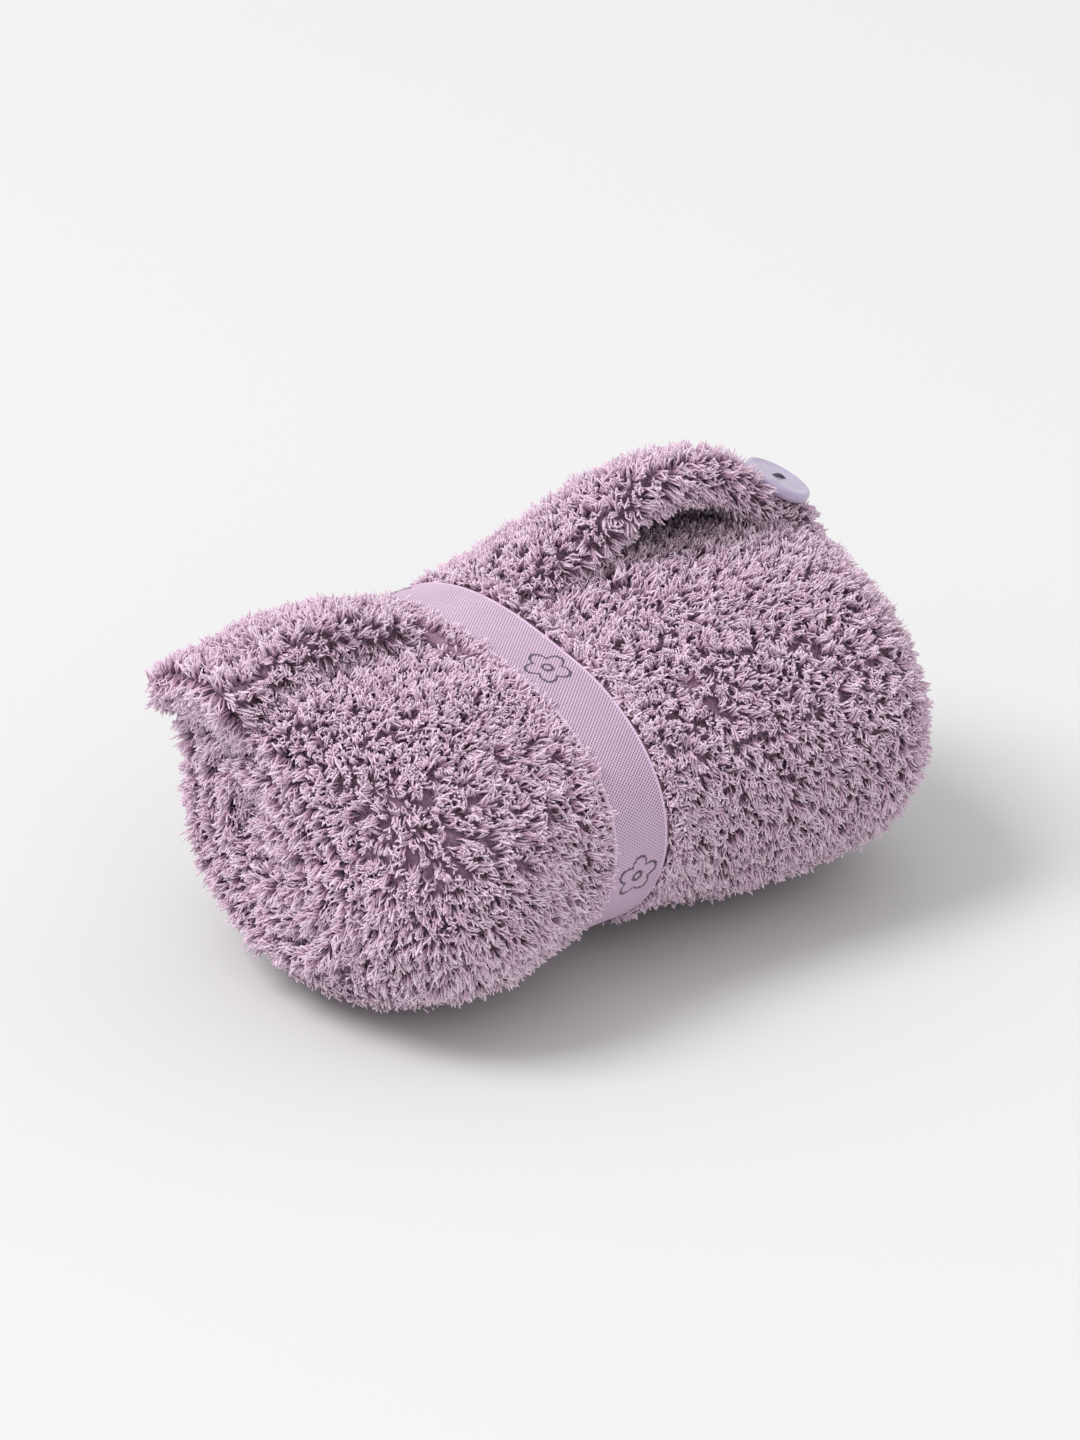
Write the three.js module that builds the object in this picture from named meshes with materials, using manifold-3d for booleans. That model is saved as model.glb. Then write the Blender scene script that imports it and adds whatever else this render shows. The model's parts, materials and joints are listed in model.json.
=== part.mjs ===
import * as THREE from 'three';
import { mergeVertices } from 'three/addons/utils/BufferGeometryUtils.js';
import Module from 'manifold-3d';

// A plush hair wrap, rolled up and held by an elastic band. The roll lies along X on the floor.
const wasm = await Module();
wasm.setup();

// Roll sizes, mm. The section is an oval spiral, widest over the two lobes and pinched at the band.
const rollDepth = 166;
const rollHeight = 120;
const leftLobeHeight = 113;
const waistDepth = 152;
const waistHeight = 100;
const leftLength = 93;
const rightLength = 142;
const leftRise = 36;
const rightRise = 52;
const endRound = 36;
const endShrink = 0.42;
const leftEndYaw = 0.1;
const footPress = 4.2;

// The wrap is one long strip of two plush panels, each counted with its pile.
const panelThickness = 8.4;
const panelGap = 0.3;
const turnGap = 0.5;
const coreHalfHeight = 3;
const coreGapTurn = 4;
const hemWidth = 3;
const hemThickness = 4.4;
const fitGap = 0.3;

// The free end of the strip: it comes loose from the roll on both sides of the band.
const hingeAngle = 50;
const edgeAngle = 2;
const earEdgeAngle = 12;
const earOverhang = 9;
const earDroop = 9;
const buttonFlapOverhang = 1;
const buttonFlapDroop = 13;
const crestLift = 13;
const crestFromEnd = 55;
const crestSpread = 32;
const cornerPull = 15;
const flapLayerGap = 0.7;
const hingeGap = 0.45;
const pinchAngle = 340;
const joinAngle = 1.5;
const joinTrim = 0.05;
const pinnedGap = 0.6;

// Elastic band with its sewn overlap.
const bandWidth = 23;
const bandThickness = 1.1;
const bandFit = 0.4;
const bandSlide = 4;
const bandClearance = 1;
const overlapLength = 22;
const overlapAngle = 128;
const barTackWidth = 3;
const barTackHeight = 0.7;
const barTackMargin = 2;

// Button and its thread.
const buttonDiameter = 25;
const buttonThickness = 4.2;
const buttonEdgeRadius = 1.5;
const buttonDish = 0.5;
const buttonRimWidth = 3;
const holeDiameter = 2.2;
const holeSpacing = 5;
const threadDiameter = 1.3;
const shankDiameter = 4;
const shankLength = 2.6;
const pocketDepth = 3.0;
const pocketClearance = 1.5;
const pocketHeadroom = 20;
const buttonFromEnd = 14;
const buttonAngle = 10;
const buttonLeanLeft = 0.2;
const buttonLeanForward = 0.3;

// How finely curved pieces are divided.
const anglesPerTurn = 20;
const riseSteps = 8;
const flapAnglesPerTurn = 60;
const discSides = 28;
const rodSides = 10;
const cutMargin = 1;

// Worked out from the sizes above.
const stripThickness = 2 * panelThickness + panelGap;
const pitch = stripThickness + turnGap;
const stepAngle = 360 / anglesPerTurn;
const insetAt = (angle) => pitch * (angle - hingeAngle) / 360;
const halfDepth = (rollDepth + insetAt(270) + insetAt(90)) / 2;
const halfHeight = (rollHeight + insetAt(360) + insetAt(180)) / 2;
const axisHeight = halfHeight - insetAt(180) - footPress;
const earLength = leftLength + earOverhang;
const buttonFlapLength = rightLength + buttonFlapOverhang;
const crestPeak = buttonFlapLength - crestFromEnd;
const buttonAlong = buttonFlapLength - buttonFromEnd;
const waistHalf = bandWidth / 2 + bandSlide + bandClearance;
const spiralTurns = (halfHeight - coreHalfHeight - stripThickness) / pitch;
const spiralEnd = hingeAngle + 360 * spiralTurns;
const depthAtWaist = waistDepth / rollDepth;
const heightAtWaist = waistHeight / rollHeight;

const radians = THREE.MathUtils.degToRad;
const smooth = (value) => THREE.MathUtils.smoothstep(value, 0, 1);
const mix = THREE.MathUtils.lerp;

// Colours and finishes.
const looks = {
  plush: { color: 0xc2a5c0, roughness: 0.95, metalness: 0 },
  lining: { color: 0xb79ab6, roughness: 0.95, metalness: 0 },
  hem: { color: 0xa98aa8, roughness: 0.9, metalness: 0 },
  elastic: { color: 0xd6b8dc, roughness: 0.8, metalness: 0 },
  thread: { color: 0x8f8296, roughness: 0.7, metalness: 0 },
  button: { color: 0xb9aec8, roughness: 0.25, metalness: 0 },
};

const wrap = new THREE.Group();

function addPiece(name, geometry, look) {
  const mesh = new THREE.Mesh(geometry, new THREE.MeshStandardMaterial(looks[look]));
  mesh.name = name;
  wrap.add(mesh);
  return mesh;
}

// ---- Solids: three.js geometry to manifold-3d and back ----

function toSolid(geometry) {
  const bare = geometry.clone();
  bare.deleteAttribute('normal');
  bare.deleteAttribute('uv');
  const merged = mergeVertices(bare, 1e-4);
  return new wasm.Manifold(new wasm.Mesh({
    numProp: 3,
    vertProperties: new Float32Array(merged.attributes.position.array),
    triVerts: new Uint32Array(merged.index.array),
  }));
}

function toGeometry(solid) {
  const mesh = solid.getMesh();
  const geometry = new THREE.BufferGeometry();
  geometry.setAttribute('position', new THREE.BufferAttribute(mesh.vertProperties, 3));
  geometry.setIndex(new THREE.BufferAttribute(mesh.triVerts, 1));
  return geometry;
}

// ---- The roll: a flat section pushed along X and shaped station by station ----

// A point of the section: angle 0 is the top, 90 the back, 180 the floor and 270 the front.
function sectionPoint(angle, inset) {
  const turn = radians(angle);
  return new THREE.Vector2((halfDepth - inset) * Math.sin(turn), (halfHeight - inset) * Math.cos(turn));
}

function angleList(from, to, step) {
  const angles = [from];
  for (let angle = (Math.floor(from / step) + 1) * step; angle < to - 1; angle += step) {
    angles.push(angle);
  }
  angles.push(to);
  return angles;
}

// A strip of the section between two angles, lying between two depths below the spiral.
function stripShape(from, to, outerDepth, innerDepth, step = stepAngle) {
  const angles = angleList(from, to, step);
  const outer = angles.map((angle) => sectionPoint(angle, insetAt(angle) + outerDepth(angle)));
  const inner = angles.map((angle) => sectionPoint(angle, insetAt(angle) + innerDepth(angle)));
  return new THREE.Shape([...outer, ...inner.reverse()]);
}

// How far a station has passed into the rounded end, from 0 to 1 along a quarter circle.
function roundingAt(x) {
  const end = x < 0 ? leftLength : rightLength;
  const past = THREE.MathUtils.clamp((Math.abs(x) - end + endRound) / endRound, 0, 1);
  return 1 - Math.sqrt(1 - past * past);
}

// Places a point of the full section: the lobes stand on the floor and the waist hangs between them.
function placeSection(x, y, z) {
  const lobe = smooth((Math.abs(x) - waistHalf) / (x < 0 ? leftRise : rightRise));
  const yaw = leftEndYaw * smooth((-x - waistHalf) / (leftLength - waistHalf));
  const lobeScale = x < 0 ? leftLobeHeight / rollHeight : 1;
  const lobeHeight = (axisHeight + z) * lobeScale;
  const height = mix(axisHeight + z * heightAtWaist, lobeHeight, lobe);
  return new THREE.Vector3(x + yaw * y, y * mix(depthAtWaist, 1, lobe), Math.max(height, 0));
}

// The ends are rounded towards a point in line with the hinge, so the free end's root stays clear.
const hingeTurn = radians(hingeAngle);
const pole = sectionPoint(hingeAngle, 0).sub(
  new THREE.Vector2(Math.sin(hingeTurn), Math.cos(hingeTurn)).multiplyScalar(halfHeight));

function inRoll(x, y, z) {
  const round = 1 - endShrink * roundingAt(x);
  return placeSection(x, pole.x + (y - pole.x) * round, pole.y + (z - pole.y) * round);
}

// Pushes a section along X through the given stations, then places every point with a function.
function pushAlong(shape, stations, place) {
  const steps = stations.length - 1;
  const geometry = new THREE.ExtrudeGeometry(shape, { depth: steps, steps, bevelEnabled: false });
  const position = geometry.attributes.position;
  for (let i = 0; i < position.count; i += 1) {
    const x = stations[Math.round(position.getZ(i))];
    const point = place(x, position.getX(i), position.getY(i));
    position.setXYZ(i, point.x, point.y, point.z);
  }
  geometry.computeVertexNormals();
  return geometry;
}

const endShares = [1, 0.5, 0.25, 0.1, 0];

// Stations of one side of the roll, from the waist outwards.
function sideStations(rise, length) {
  const rising = Array.from({ length: riseSteps + 1 }, (_, i) => waistHalf + rise * i / riseSteps);
  const ending = endShares.map((share) => length - endRound * share);
  return [...rising, ...ending.filter((x) => x > waistHalf + rise)];
}

const leftStations = sideStations(leftRise, leftLength).map((x) => -x).reverse();
const rightStations = sideStations(rightRise, rightLength);
const rollStations = [...leftStations, ...rightStations];

const flat = (depth) => () => depth;

// Under the band the free end is squeezed to a wedge, which closes the step of the spiral.
function waistInset(angle) {
  const closing = smooth((angle - pinchAngle) / (360 + hingeAngle - pinchAngle));
  return mix(insetAt(Math.min(angle, pinchAngle)), 0, closing);
}

// One panel's share of the wedge: it overlaps the panel's end a little, to be joined to it.
function pinnedEdge(isOuter) {
  const top = (angle) => waistInset(angle) - insetAt(angle);
  const half = (angle) => (-turnGap - top(angle) - pinnedGap) / 2;
  const outerDepth = (angle) => top(angle) + joinTrim + (isOuter ? 0 : half(angle) + pinnedGap);
  const innerDepth = (angle) => (isOuter ? top(angle) + half(angle) : -turnGap) - joinTrim;
  const shape = stripShape(360 + edgeAngle, 360 + hingeAngle + joinAngle, outerDepth, innerDepth);
  return pushAlong(shape, [-waistHalf, waistHalf], inRoll);
}

function makePanel(name, outerDepth, isOuter, look) {
  const shape = stripShape(hingeAngle, spiralEnd, flat(outerDepth), flat(outerDepth + panelThickness));
  const panel = toSolid(pushAlong(shape, rollStations, inRoll));
  addPiece(name, toGeometry(panel.add(toSolid(pinnedEdge(isOuter)))), look);
}

// Overlocked hems cap both long sides of the strip, so they show as a spiral at each end.
function makeSideHem(name, end, side) {
  const middle = stripThickness / 2;
  const shape = stripShape(
    hingeAngle, spiralEnd, flat(middle - hemThickness / 2), flat(middle + hemThickness / 2));
  const near = side * fitGap;
  const far = side * (fitGap + hemWidth);
  const stations = side < 0 ? [far, near] : [near, far];
  const place = (offset, y, z) => {
    const point = inRoll(side * end, y, z);
    point.x += offset;
    return point;
  };
  addPiece(name, pushAlong(shape, stations, place), 'hem');
}

// ---- The free end: an ear on the left and the button flap on the right ----

// How far the free edge stands off the roll. Both outer corners droop over the round ends.
function liftAt(x) {
  if (x < 0) {
    return -earDroop * roundingAt(x);
  }
  const crest = crestLift * Math.exp(-(((x - crestPeak) / crestSpread) ** 4));
  const past = Math.max((x - rightLength + endRound) / endRound, 0);
  return crest * smooth((x - waistHalf) / rightRise) - buttonFlapDroop * past * past;
}

function placeInFlap(x, y, z) {
  const angle = THREE.MathUtils.radToDeg(Math.atan2(y / halfDepth, z / halfHeight));
  const free = smooth((hingeAngle - angle) / (hingeAngle - edgeAngle));
  const point = placeSection(x, y, z);
  point.y -= cornerPull * free * free * smooth((x - crestPeak) / (buttonFlapLength - crestPeak));
  point.z += liftAt(x) * free;
  return point;
}

// The free end shares the roll's stations, so that the two surfaces stay level between them.
function flapStations(side, rise, reach, extra) {
  const start = waistHalf + fitGap;
  const shared = rollStations.map((x) => side * x).concat(extra);
  const inside = shared.filter((x) => x > start && x < reach);
  const rough = [start, ...inside.sort((a, b) => a - b), reach];
  const halfway = rough.slice(1).map((x, i) => (x + rough[i]) / 2).filter((x) => x > waistHalf + rise);
  const stations = [...rough, ...halfway].sort((a, b) => a - b).map((x) => side * x);
  return side < 0 ? stations.reverse() : stations;
}

function flapStrip(from, to, outerDepth, innerDepth, stations) {
  const shape = stripShape(from, to, flat(outerDepth), flat(innerDepth), 360 / flapAnglesPerTurn);
  return pushAlong(shape, stations, placeInFlap);
}

function makeFlap(side, edge, stations, cut) {
  const root = hingeAngle - THREE.MathUtils.radToDeg(hingeGap / halfHeight);
  const outer = flapStrip(edge, root, 0, panelThickness, stations);
  const innerTop = stripThickness - panelThickness + flapLayerGap;
  const inner = flapStrip(edge, root, innerTop, stripThickness, stations);
  addPiece(`${side}_outer`, cut ? toGeometry(toSolid(outer).subtract(cut)) : outer, 'plush');
  addPiece(`${side}_inner`, inner, 'lining');
  const middle = stripThickness / 2;
  const hemTurn = THREE.MathUtils.radToDeg(hemWidth / halfDepth);
  const gapTurn = THREE.MathUtils.radToDeg(fitGap / halfDepth);
  const hem = flapStrip(edge - gapTurn - hemTurn, edge - gapTurn,
    middle - hemThickness / 2, middle + hemThickness / 2, stations);
  addPiece(`${side}_hem`, hem, 'hem');
}

// ---- Elastic band ----

// The outline of the pinched roll, offset outwards.
function waistPoint(angle, offset) {
  const point = sectionPoint(angle, waistInset(angle));
  const scaled = new THREE.Vector2(point.x * depthAtWaist, point.y * heightAtWaist);
  return scaled.setLength(scaled.length() + offset);
}

function bandOutline(from, to, offset) {
  return angleList(from, to, stepAngle).map((angle) => waistPoint(angle, offset));
}

const onWaist = (x, y, z) => new THREE.Vector3(x, y, axisHeight + z);

function makeBand() {
  const around = (offset) => bandOutline(hingeAngle, 360 + hingeAngle - stepAngle / 2, offset);
  const shape = new THREE.Shape(around(bandFit + bandThickness));
  shape.holes.push(new THREE.Path(around(bandFit).reverse()));
  addPiece('elastic_band', pushAlong(shape, [-bandWidth / 2, bandWidth / 2], onWaist), 'elastic');

  const halfTurn = THREE.MathUtils.radToDeg(overlapLength / (waistDepth / 2)) / 2;
  const low = bandFit + bandThickness + fitGap / 2;
  const lap = layerOnBand(overlapAngle - halfTurn, overlapAngle + halfTurn, low, bandThickness);
  addPiece('band_overlap', pushAlong(lap, [-bandWidth / 2, bandWidth / 2], onWaist), 'elastic');

  const tackTurn = THREE.MathUtils.radToDeg(barTackWidth / (waistDepth / 2)) / 2;
  const tackLow = low + bandThickness + fitGap / 2;
  const tack = layerOnBand(
    overlapAngle - halfTurn / 2 - tackTurn, overlapAngle - halfTurn / 2 + tackTurn, tackLow, barTackHeight);
  const tackHalf = bandWidth / 2 - barTackMargin;
  addPiece('band_bar_tack', pushAlong(tack, [-tackHalf, tackHalf], onWaist), 'thread');
}

function layerOnBand(from, to, offset, thickness) {
  const outer = bandOutline(from, to, offset + thickness);
  const inner = bandOutline(from, to, offset);
  return new THREE.Shape([...outer, ...inner.reverse()]);
}

// ---- Button ----

// The button's seat on the flap: a point of the pile's surface and the way the button faces. It leans
// forward from the cloth, on the pile that props it up.
function buttonSeat() {
  const onFlap = (x, angle) => {
    const point = sectionPoint(angle, 0);
    return placeInFlap(x, point.x, point.y);
  };
  const reach = buttonDiameter / 2;
  const reachAngle = THREE.MathUtils.radToDeg(reach / halfDepth);
  const along = onFlap(buttonAlong + reach, buttonAngle).sub(onFlap(buttonAlong - reach, buttonAngle));
  const back = onFlap(buttonAlong, buttonAngle + reachAngle);
  back.sub(onFlap(buttonAlong, buttonAngle - reachAngle));
  const axis = along.normalize().cross(back.normalize()).normalize();
  axis.add(new THREE.Vector3(-buttonLeanLeft, -buttonLeanForward, 0)).normalize();
  return { centre: onFlap(buttonAlong, buttonAngle), axis };
}

const seat = buttonSeat();
const seatTurn = new THREE.Quaternion().setFromUnitVectors(new THREE.Vector3(0, 0, 1), seat.axis);

// Puts a geometry, modelled with +Z as the button's axis and 0 at the pocket's floor, on the flap.
function onSeat(geometry) {
  geometry.translate(0, 0, -pocketDepth);
  geometry.applyQuaternion(seatTurn);
  geometry.translate(seat.centre.x, seat.centre.y, seat.centre.z);
  return geometry;
}

function uprightCylinder(radius, bottom, top, sides) {
  const cylinder = new THREE.CylinderGeometry(radius, radius, top - bottom, sides);
  cylinder.rotateX(Math.PI / 2);
  cylinder.translate(0, 0, (bottom + top) / 2);
  return cylinder;
}

function buttonPocket() {
  const radius = buttonDiameter / 2 + pocketClearance;
  return toSolid(onSeat(uprightCylinder(radius, 0, pocketDepth + pocketHeadroom, discSides)));
}

function makeButton() {
  const bottom = fitGap + shankLength + fitGap;
  const radius = buttonDiameter / 2;
  const profile = [new THREE.Vector2(0, bottom)];
  for (let i = 0; i <= 4; i += 1) {
    const turn = radians(-90 + 45 * i);
    const middle = i <= 2 ? bottom + buttonEdgeRadius : bottom + buttonThickness - buttonEdgeRadius;
    profile.push(new THREE.Vector2(
      radius - buttonEdgeRadius + buttonEdgeRadius * Math.cos(turn),
      middle + buttonEdgeRadius * Math.sin(turn)));
  }
  const face = bottom + buttonThickness - buttonDish;
  profile.push(new THREE.Vector2(radius - buttonEdgeRadius - buttonRimWidth, face));
  profile.push(new THREE.Vector2(0, face));
  const disc = new THREE.LatheGeometry(profile, discSides);
  disc.rotateX(Math.PI / 2);
  let solid = toSolid(disc);
  for (const side of [-1, 1]) {
    const hole = uprightCylinder(holeDiameter / 2, bottom - cutMargin, face + cutMargin, rodSides);
    hole.translate(side * holeSpacing / 2, 0, 0);
    solid = solid.subtract(toSolid(hole));
  }
  addPiece('button', onSeat(toGeometry(solid)), 'button');
  addPiece('button_thread', onSeat(threadBar(bottom)), 'thread');
  addPiece('thread_shank', onSeat(uprightCylinder(shankDiameter / 2, fitGap, bottom - fitGap, rodSides)),
    'thread');
}

// One staple of thread: it comes up one hole, lies across the face and goes down the other.
function threadBar(bottom) {
  const face = bottom + buttonThickness - buttonDish;
  const top = face + fitGap + threadDiameter / 2;
  const half = holeSpacing / 2;
  const low = bottom + fitGap;
  const leg = (side) => uprightCylinder(threadDiameter / 2, low, top, rodSides).translate(side * half, 0, 0);
  const across = new THREE.CylinderGeometry(threadDiameter / 2, threadDiameter / 2, holeSpacing, rodSides);
  across.rotateZ(Math.PI / 2);
  across.translate(0, 0, top);
  return toGeometry(toSolid(leg(-1)).add(toSolid(leg(1))).add(toSolid(across)));
}

// ---- Core: the strip's inner end, folded flat where the roll was started ----

function makeCoreFold() {
  const angles = angleList(spiralEnd - 360 + coreGapTurn, spiralEnd, stepAngle);
  const round = angles.map((angle) => sectionPoint(angle, insetAt(angle) + stripThickness + turnGap));
  addPiece('core_fold', pushAlong(new THREE.Shape(round), rollStations, inRoll), 'lining');
}

makePanel('outer_panel', 0, true, 'plush');
makePanel('inner_panel', panelThickness + panelGap, false, 'lining');
makeSideHem('left_side_hem', leftLength, -1);
makeSideHem('right_side_hem', rightLength, 1);
makeFlap('ear', earEdgeAngle, flapStations(-1, leftRise, earLength, []), null);
const crestStations = flapStations(1, rightRise, buttonFlapLength, [crestPeak, crestPeak + crestSpread / 2]);
makeFlap('button_flap', edgeAngle, crestStations, buttonPocket());
makeCoreFold();
makeBand();
makeButton();

// The origin is the middle of the bounding box's base.
const box = new THREE.Box3().setFromObject(wrap);
const middle = box.getCenter(new THREE.Vector3());
wrap.position.set(-middle.x, -middle.y, -box.min.z);

export default wrap;
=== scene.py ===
import json
import math

import bmesh
import bpy
import numpy as np
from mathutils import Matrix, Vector


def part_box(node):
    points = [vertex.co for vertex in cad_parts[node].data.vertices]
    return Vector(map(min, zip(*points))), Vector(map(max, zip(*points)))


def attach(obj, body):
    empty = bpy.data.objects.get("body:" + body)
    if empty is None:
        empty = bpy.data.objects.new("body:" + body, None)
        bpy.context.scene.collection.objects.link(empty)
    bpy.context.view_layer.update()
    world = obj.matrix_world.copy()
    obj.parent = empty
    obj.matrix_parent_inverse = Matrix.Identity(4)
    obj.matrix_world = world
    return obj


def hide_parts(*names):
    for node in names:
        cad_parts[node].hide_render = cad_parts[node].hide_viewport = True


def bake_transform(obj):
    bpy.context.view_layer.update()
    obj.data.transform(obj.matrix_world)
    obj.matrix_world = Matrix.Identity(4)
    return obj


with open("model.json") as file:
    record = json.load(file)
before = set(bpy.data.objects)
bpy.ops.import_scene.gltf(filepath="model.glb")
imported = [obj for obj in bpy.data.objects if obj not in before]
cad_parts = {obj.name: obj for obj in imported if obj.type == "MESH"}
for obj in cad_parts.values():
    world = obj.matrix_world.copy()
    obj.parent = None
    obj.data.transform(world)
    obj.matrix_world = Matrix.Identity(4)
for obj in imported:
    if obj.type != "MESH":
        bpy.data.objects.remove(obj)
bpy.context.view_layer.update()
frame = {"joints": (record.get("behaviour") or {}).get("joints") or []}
scene = bpy.context.scene
print("stage: frame loaded")

# Camera, floor and light.

camera = {"target": (-0.005, -0.007, 0.073), "azimuth": -40.5, "elevation": 24.5, "distance": 1.8,
          "lens": 135}
studio = {"floorHalf": 40.0, "floorColour": (0.70, 0.70, 0.70), "floorRoughness": 0.9, "floorSpecular": 0.1,
          "worldStrength": 0.78,
          "keyPower": 360, "keySize": 3.4, "keyAzimuth": -114, "keyElevation": 54, "keyDistance": 7.5,
          "fillPower": 45, "fillSize": 4.4, "fillAzimuth": -20, "fillElevation": 30, "fillDistance": 7.0}


def addObject(name, data, holder=scene.collection):
    item = bpy.data.objects.new(name, data)
    holder.objects.link(item)
    return item


def onSphere(azimuth, elevation, distance):
    a, e = math.radians(azimuth), math.radians(elevation)
    return Vector((math.sin(a) * math.cos(e), -math.cos(a) * math.cos(e), math.sin(e))) * distance


def lookAt(item, target):
    item.rotation_euler = (Vector(target) - item.location).to_track_quat("-Z", "Y").to_euler()


def addCamera():
    data = bpy.data.cameras.new("camera")
    data.lens = camera["lens"]
    item = addObject("camera", data)
    target = Vector(camera["target"])
    item.location = target + onSphere(camera["azimuth"], camera["elevation"], camera["distance"])
    lookAt(item, target)
    scene.camera = item


def addLight(name, power, size, azimuth, elevation, distance):
    data = bpy.data.lights.new(name, "AREA")
    data.energy = power
    data.size = size
    item = addObject(name, data)
    item.location = Vector(camera["target"]) + onSphere(azimuth, elevation, distance)
    lookAt(item, camera["target"])


def addStudio():
    world = bpy.data.worlds.new("studio")
    world.use_nodes = True
    world.node_tree.nodes["Background"].inputs["Color"].default_value = (1, 1, 1, 1)
    world.node_tree.nodes["Background"].inputs["Strength"].default_value = studio["worldStrength"]
    scene.world = world
    scene.view_settings.view_transform = "Standard"
    half = studio["floorHalf"]
    corners = [(-half, -half, 0), (half, -half, 0), (half, half, 0), (-half, half, 0)]
    mesh = bpy.data.meshes.new("floor")
    mesh.from_pydata(corners, [], [(0, 1, 2, 3)])
    floor = addObject("floor", mesh)
    paint = bpy.data.materials.new("paleFloor")
    paint.use_nodes = True
    shader = paint.node_tree.nodes["Principled BSDF"]
    shader.inputs["Base Color"].default_value = (*studio["floorColour"], 1)
    shader.inputs["Roughness"].default_value = studio["floorRoughness"]
    shader.inputs["Specular IOR Level"].default_value = studio["floorSpecular"]
    mesh.materials.append(paint)
    for light in ("key", "fill"):
        addLight(light, studio[light + "Power"], studio[light + "Size"], studio[light + "Azimuth"],
                 studio[light + "Elevation"], studio[light + "Distance"])


addCamera()
addStudio()
print("stage: studio")

# The shape of the roll.

# The strip's section is an oval spiral: angle 0 is the top, 90 the back, 180 the floor, 270 the front.
roll = {"height": 0.120, "leftLength": 0.088, "pitch": 0.0176, "strip": 0.0171, "turnGap": 0.0005,
        "hinge": 50.0, "coreHalf": 0.003, "coreCut": 0.001,
        "heightOfLeftLobe": 113 / 120, "waistDepth": 152 / 166, "waistHeight": 100 / 120,
        "footPress": 0.0042, "footSoft": 0.0012, "leftRise": 0.036, "rightRise": 0.052, "slide": 0.005,
        "endRound": 0.036, "endShrink": 0.42, "endYaw": 0.1, "yawBehind": 1.7,
        "shoulder": 0.6, "shoulderFrom": -30, "shoulderRise": 35, "shoulderTo": 48, "shoulderFall": 30,
        "lump": 0.0016, "lumpWaves": ((41, 2, 0.7), (67, -3, 2.1), (29, 5, 0)), "lumpFade": 0.012,
        "gather": 0.0022, "gatherCount": 11, "gatherBend": 3, "gatherSway": 2, "gatherReach": 0.022,
        "arcSamples": 2000}
pile = {"depth": 0.0032, "underBand": 0.0004, "floor": 0.0022, "below": 0.004, "nearBand": 0.012,
        "nearBandStart": 0.002, "shortStart": 0.004, "floorFrom": 0.004, "floorFade": 0.02, "gridStep": 0.003,
        "turnStep": 3.0, "edgeInset": 0.0005, "tucked": 0.003}

panelLow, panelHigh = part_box("outer_panel")
bandLow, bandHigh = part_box("elastic_band")
bandX = (bandLow.x + bandHigh.x) / 2
waistHalf = (bandHigh.x - bandLow.x) / 2 + roll["slide"]
leftLength = roll["leftLength"]
rightLength = panelHigh.x - bandX


def smoothStep(value):
    value = np.clip(value, 0, 1)
    return value * value * (3 - 2 * value)


def mix(a, b, share):
    return a + (b - a) * share


def insetAt(angle):
    return roll["pitch"] * (angle - roll["hinge"]) / 360


rollDepth = panelHigh.y - panelLow.y
halfDepth = (rollDepth + insetAt(270) + insetAt(90)) / 2
halfHeight = (roll["height"] + insetAt(360) + insetAt(180)) / 2
axisY = panelHigh.y - (halfDepth - insetAt(90))
axisZ = halfHeight - insetAt(180) - roll["footPress"]
spiralEnd = roll["hinge"] + 360 * (halfHeight - roll["coreHalf"] - roll["strip"]) / roll["pitch"]
hingeTurn = math.radians(roll["hinge"])
poleY = (halfDepth - halfHeight) * math.sin(hingeTurn)


def sectionPoint(angle, depth):
    turn = np.radians(angle)
    inset = insetAt(angle) + depth
    return (halfDepth - inset) * np.sin(turn), (halfHeight - inset) * np.cos(turn)


# Soft lumps all over, and gathers that run out from under the band.
def lumpsAt(x, y, z):
    turn = np.arctan2(y / halfDepth, z / halfHeight)
    waves = roll["lumpWaves"]
    size = sum(np.sin(run * x + count * turn + phase) for run, count, phase in waves) / len(waves)
    reach = np.exp(-np.maximum(np.abs(x) - waistHalf, 0) / roll["gatherReach"])
    sway = roll["gatherSway"] * np.sin(roll["gatherBend"] * turn)
    folds = np.cos(roll["gatherCount"] * turn + sway) * reach
    away = smoothStep((np.abs(x) - waistHalf) / roll["lumpFade"])
    return away * (roll["lump"] * size + roll["gather"] * folds) / halfHeight


def roundingAt(x):
    end = np.where(x < 0, leftLength, rightLength)
    past = np.clip((np.abs(x) - end + roll["endRound"]) / roll["endRound"], 0, 1)
    return 1 - np.sqrt(1 - past * past)


def placeSection(x, y, z):
    lump = 1 + lumpsAt(x, y, z)
    y, z = y * lump, z * lump
    lobe = smoothStep((np.abs(x) - waistHalf) / np.where(x < 0, roll["leftRise"], roll["rightRise"]))
    leftwards = smoothStep((-x - waistHalf) / (leftLength - waistHalf))
    yaw = roll["endYaw"] * leftwards * np.where(y > 0, roll["yawBehind"], 1)
    lobeHeight = (axisZ + z) * np.where(x < 0, roll["heightOfLeftLobe"], 1)
    height = mix(axisZ + z * roll["waistHeight"], lobeHeight, lobe)
    foot = pile["floor"]
    height = foot + np.logaddexp(0, (height - foot) / roll["footSoft"]) * roll["footSoft"]
    return np.stack([bandX + x + yaw * y, axisY + y * mix(roll["waistDepth"], 1, lobe), height], -1)


# The rounded ends stay full where the free end lies on them.
def roundEnd(x, y, z):
    way = np.degrees(np.arctan2(y / halfDepth, z / halfHeight))
    behind = 1 - smoothStep((way - roll["shoulderTo"]) / roll["shoulderFall"])
    shoulder = smoothStep((way - roll["shoulderFrom"]) / roll["shoulderRise"]) * behind
    turn = 1 - roll["endShrink"] * roundingAt(x) * (1 - roll["shoulder"] * shoulder)
    return placeSection(x, poleY + (y - poleY) * turn, z * turn)


def inRoll(x, angle, depth):
    y, z = sectionPoint(angle, depth)
    return roundEnd(x, y, z)


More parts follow.
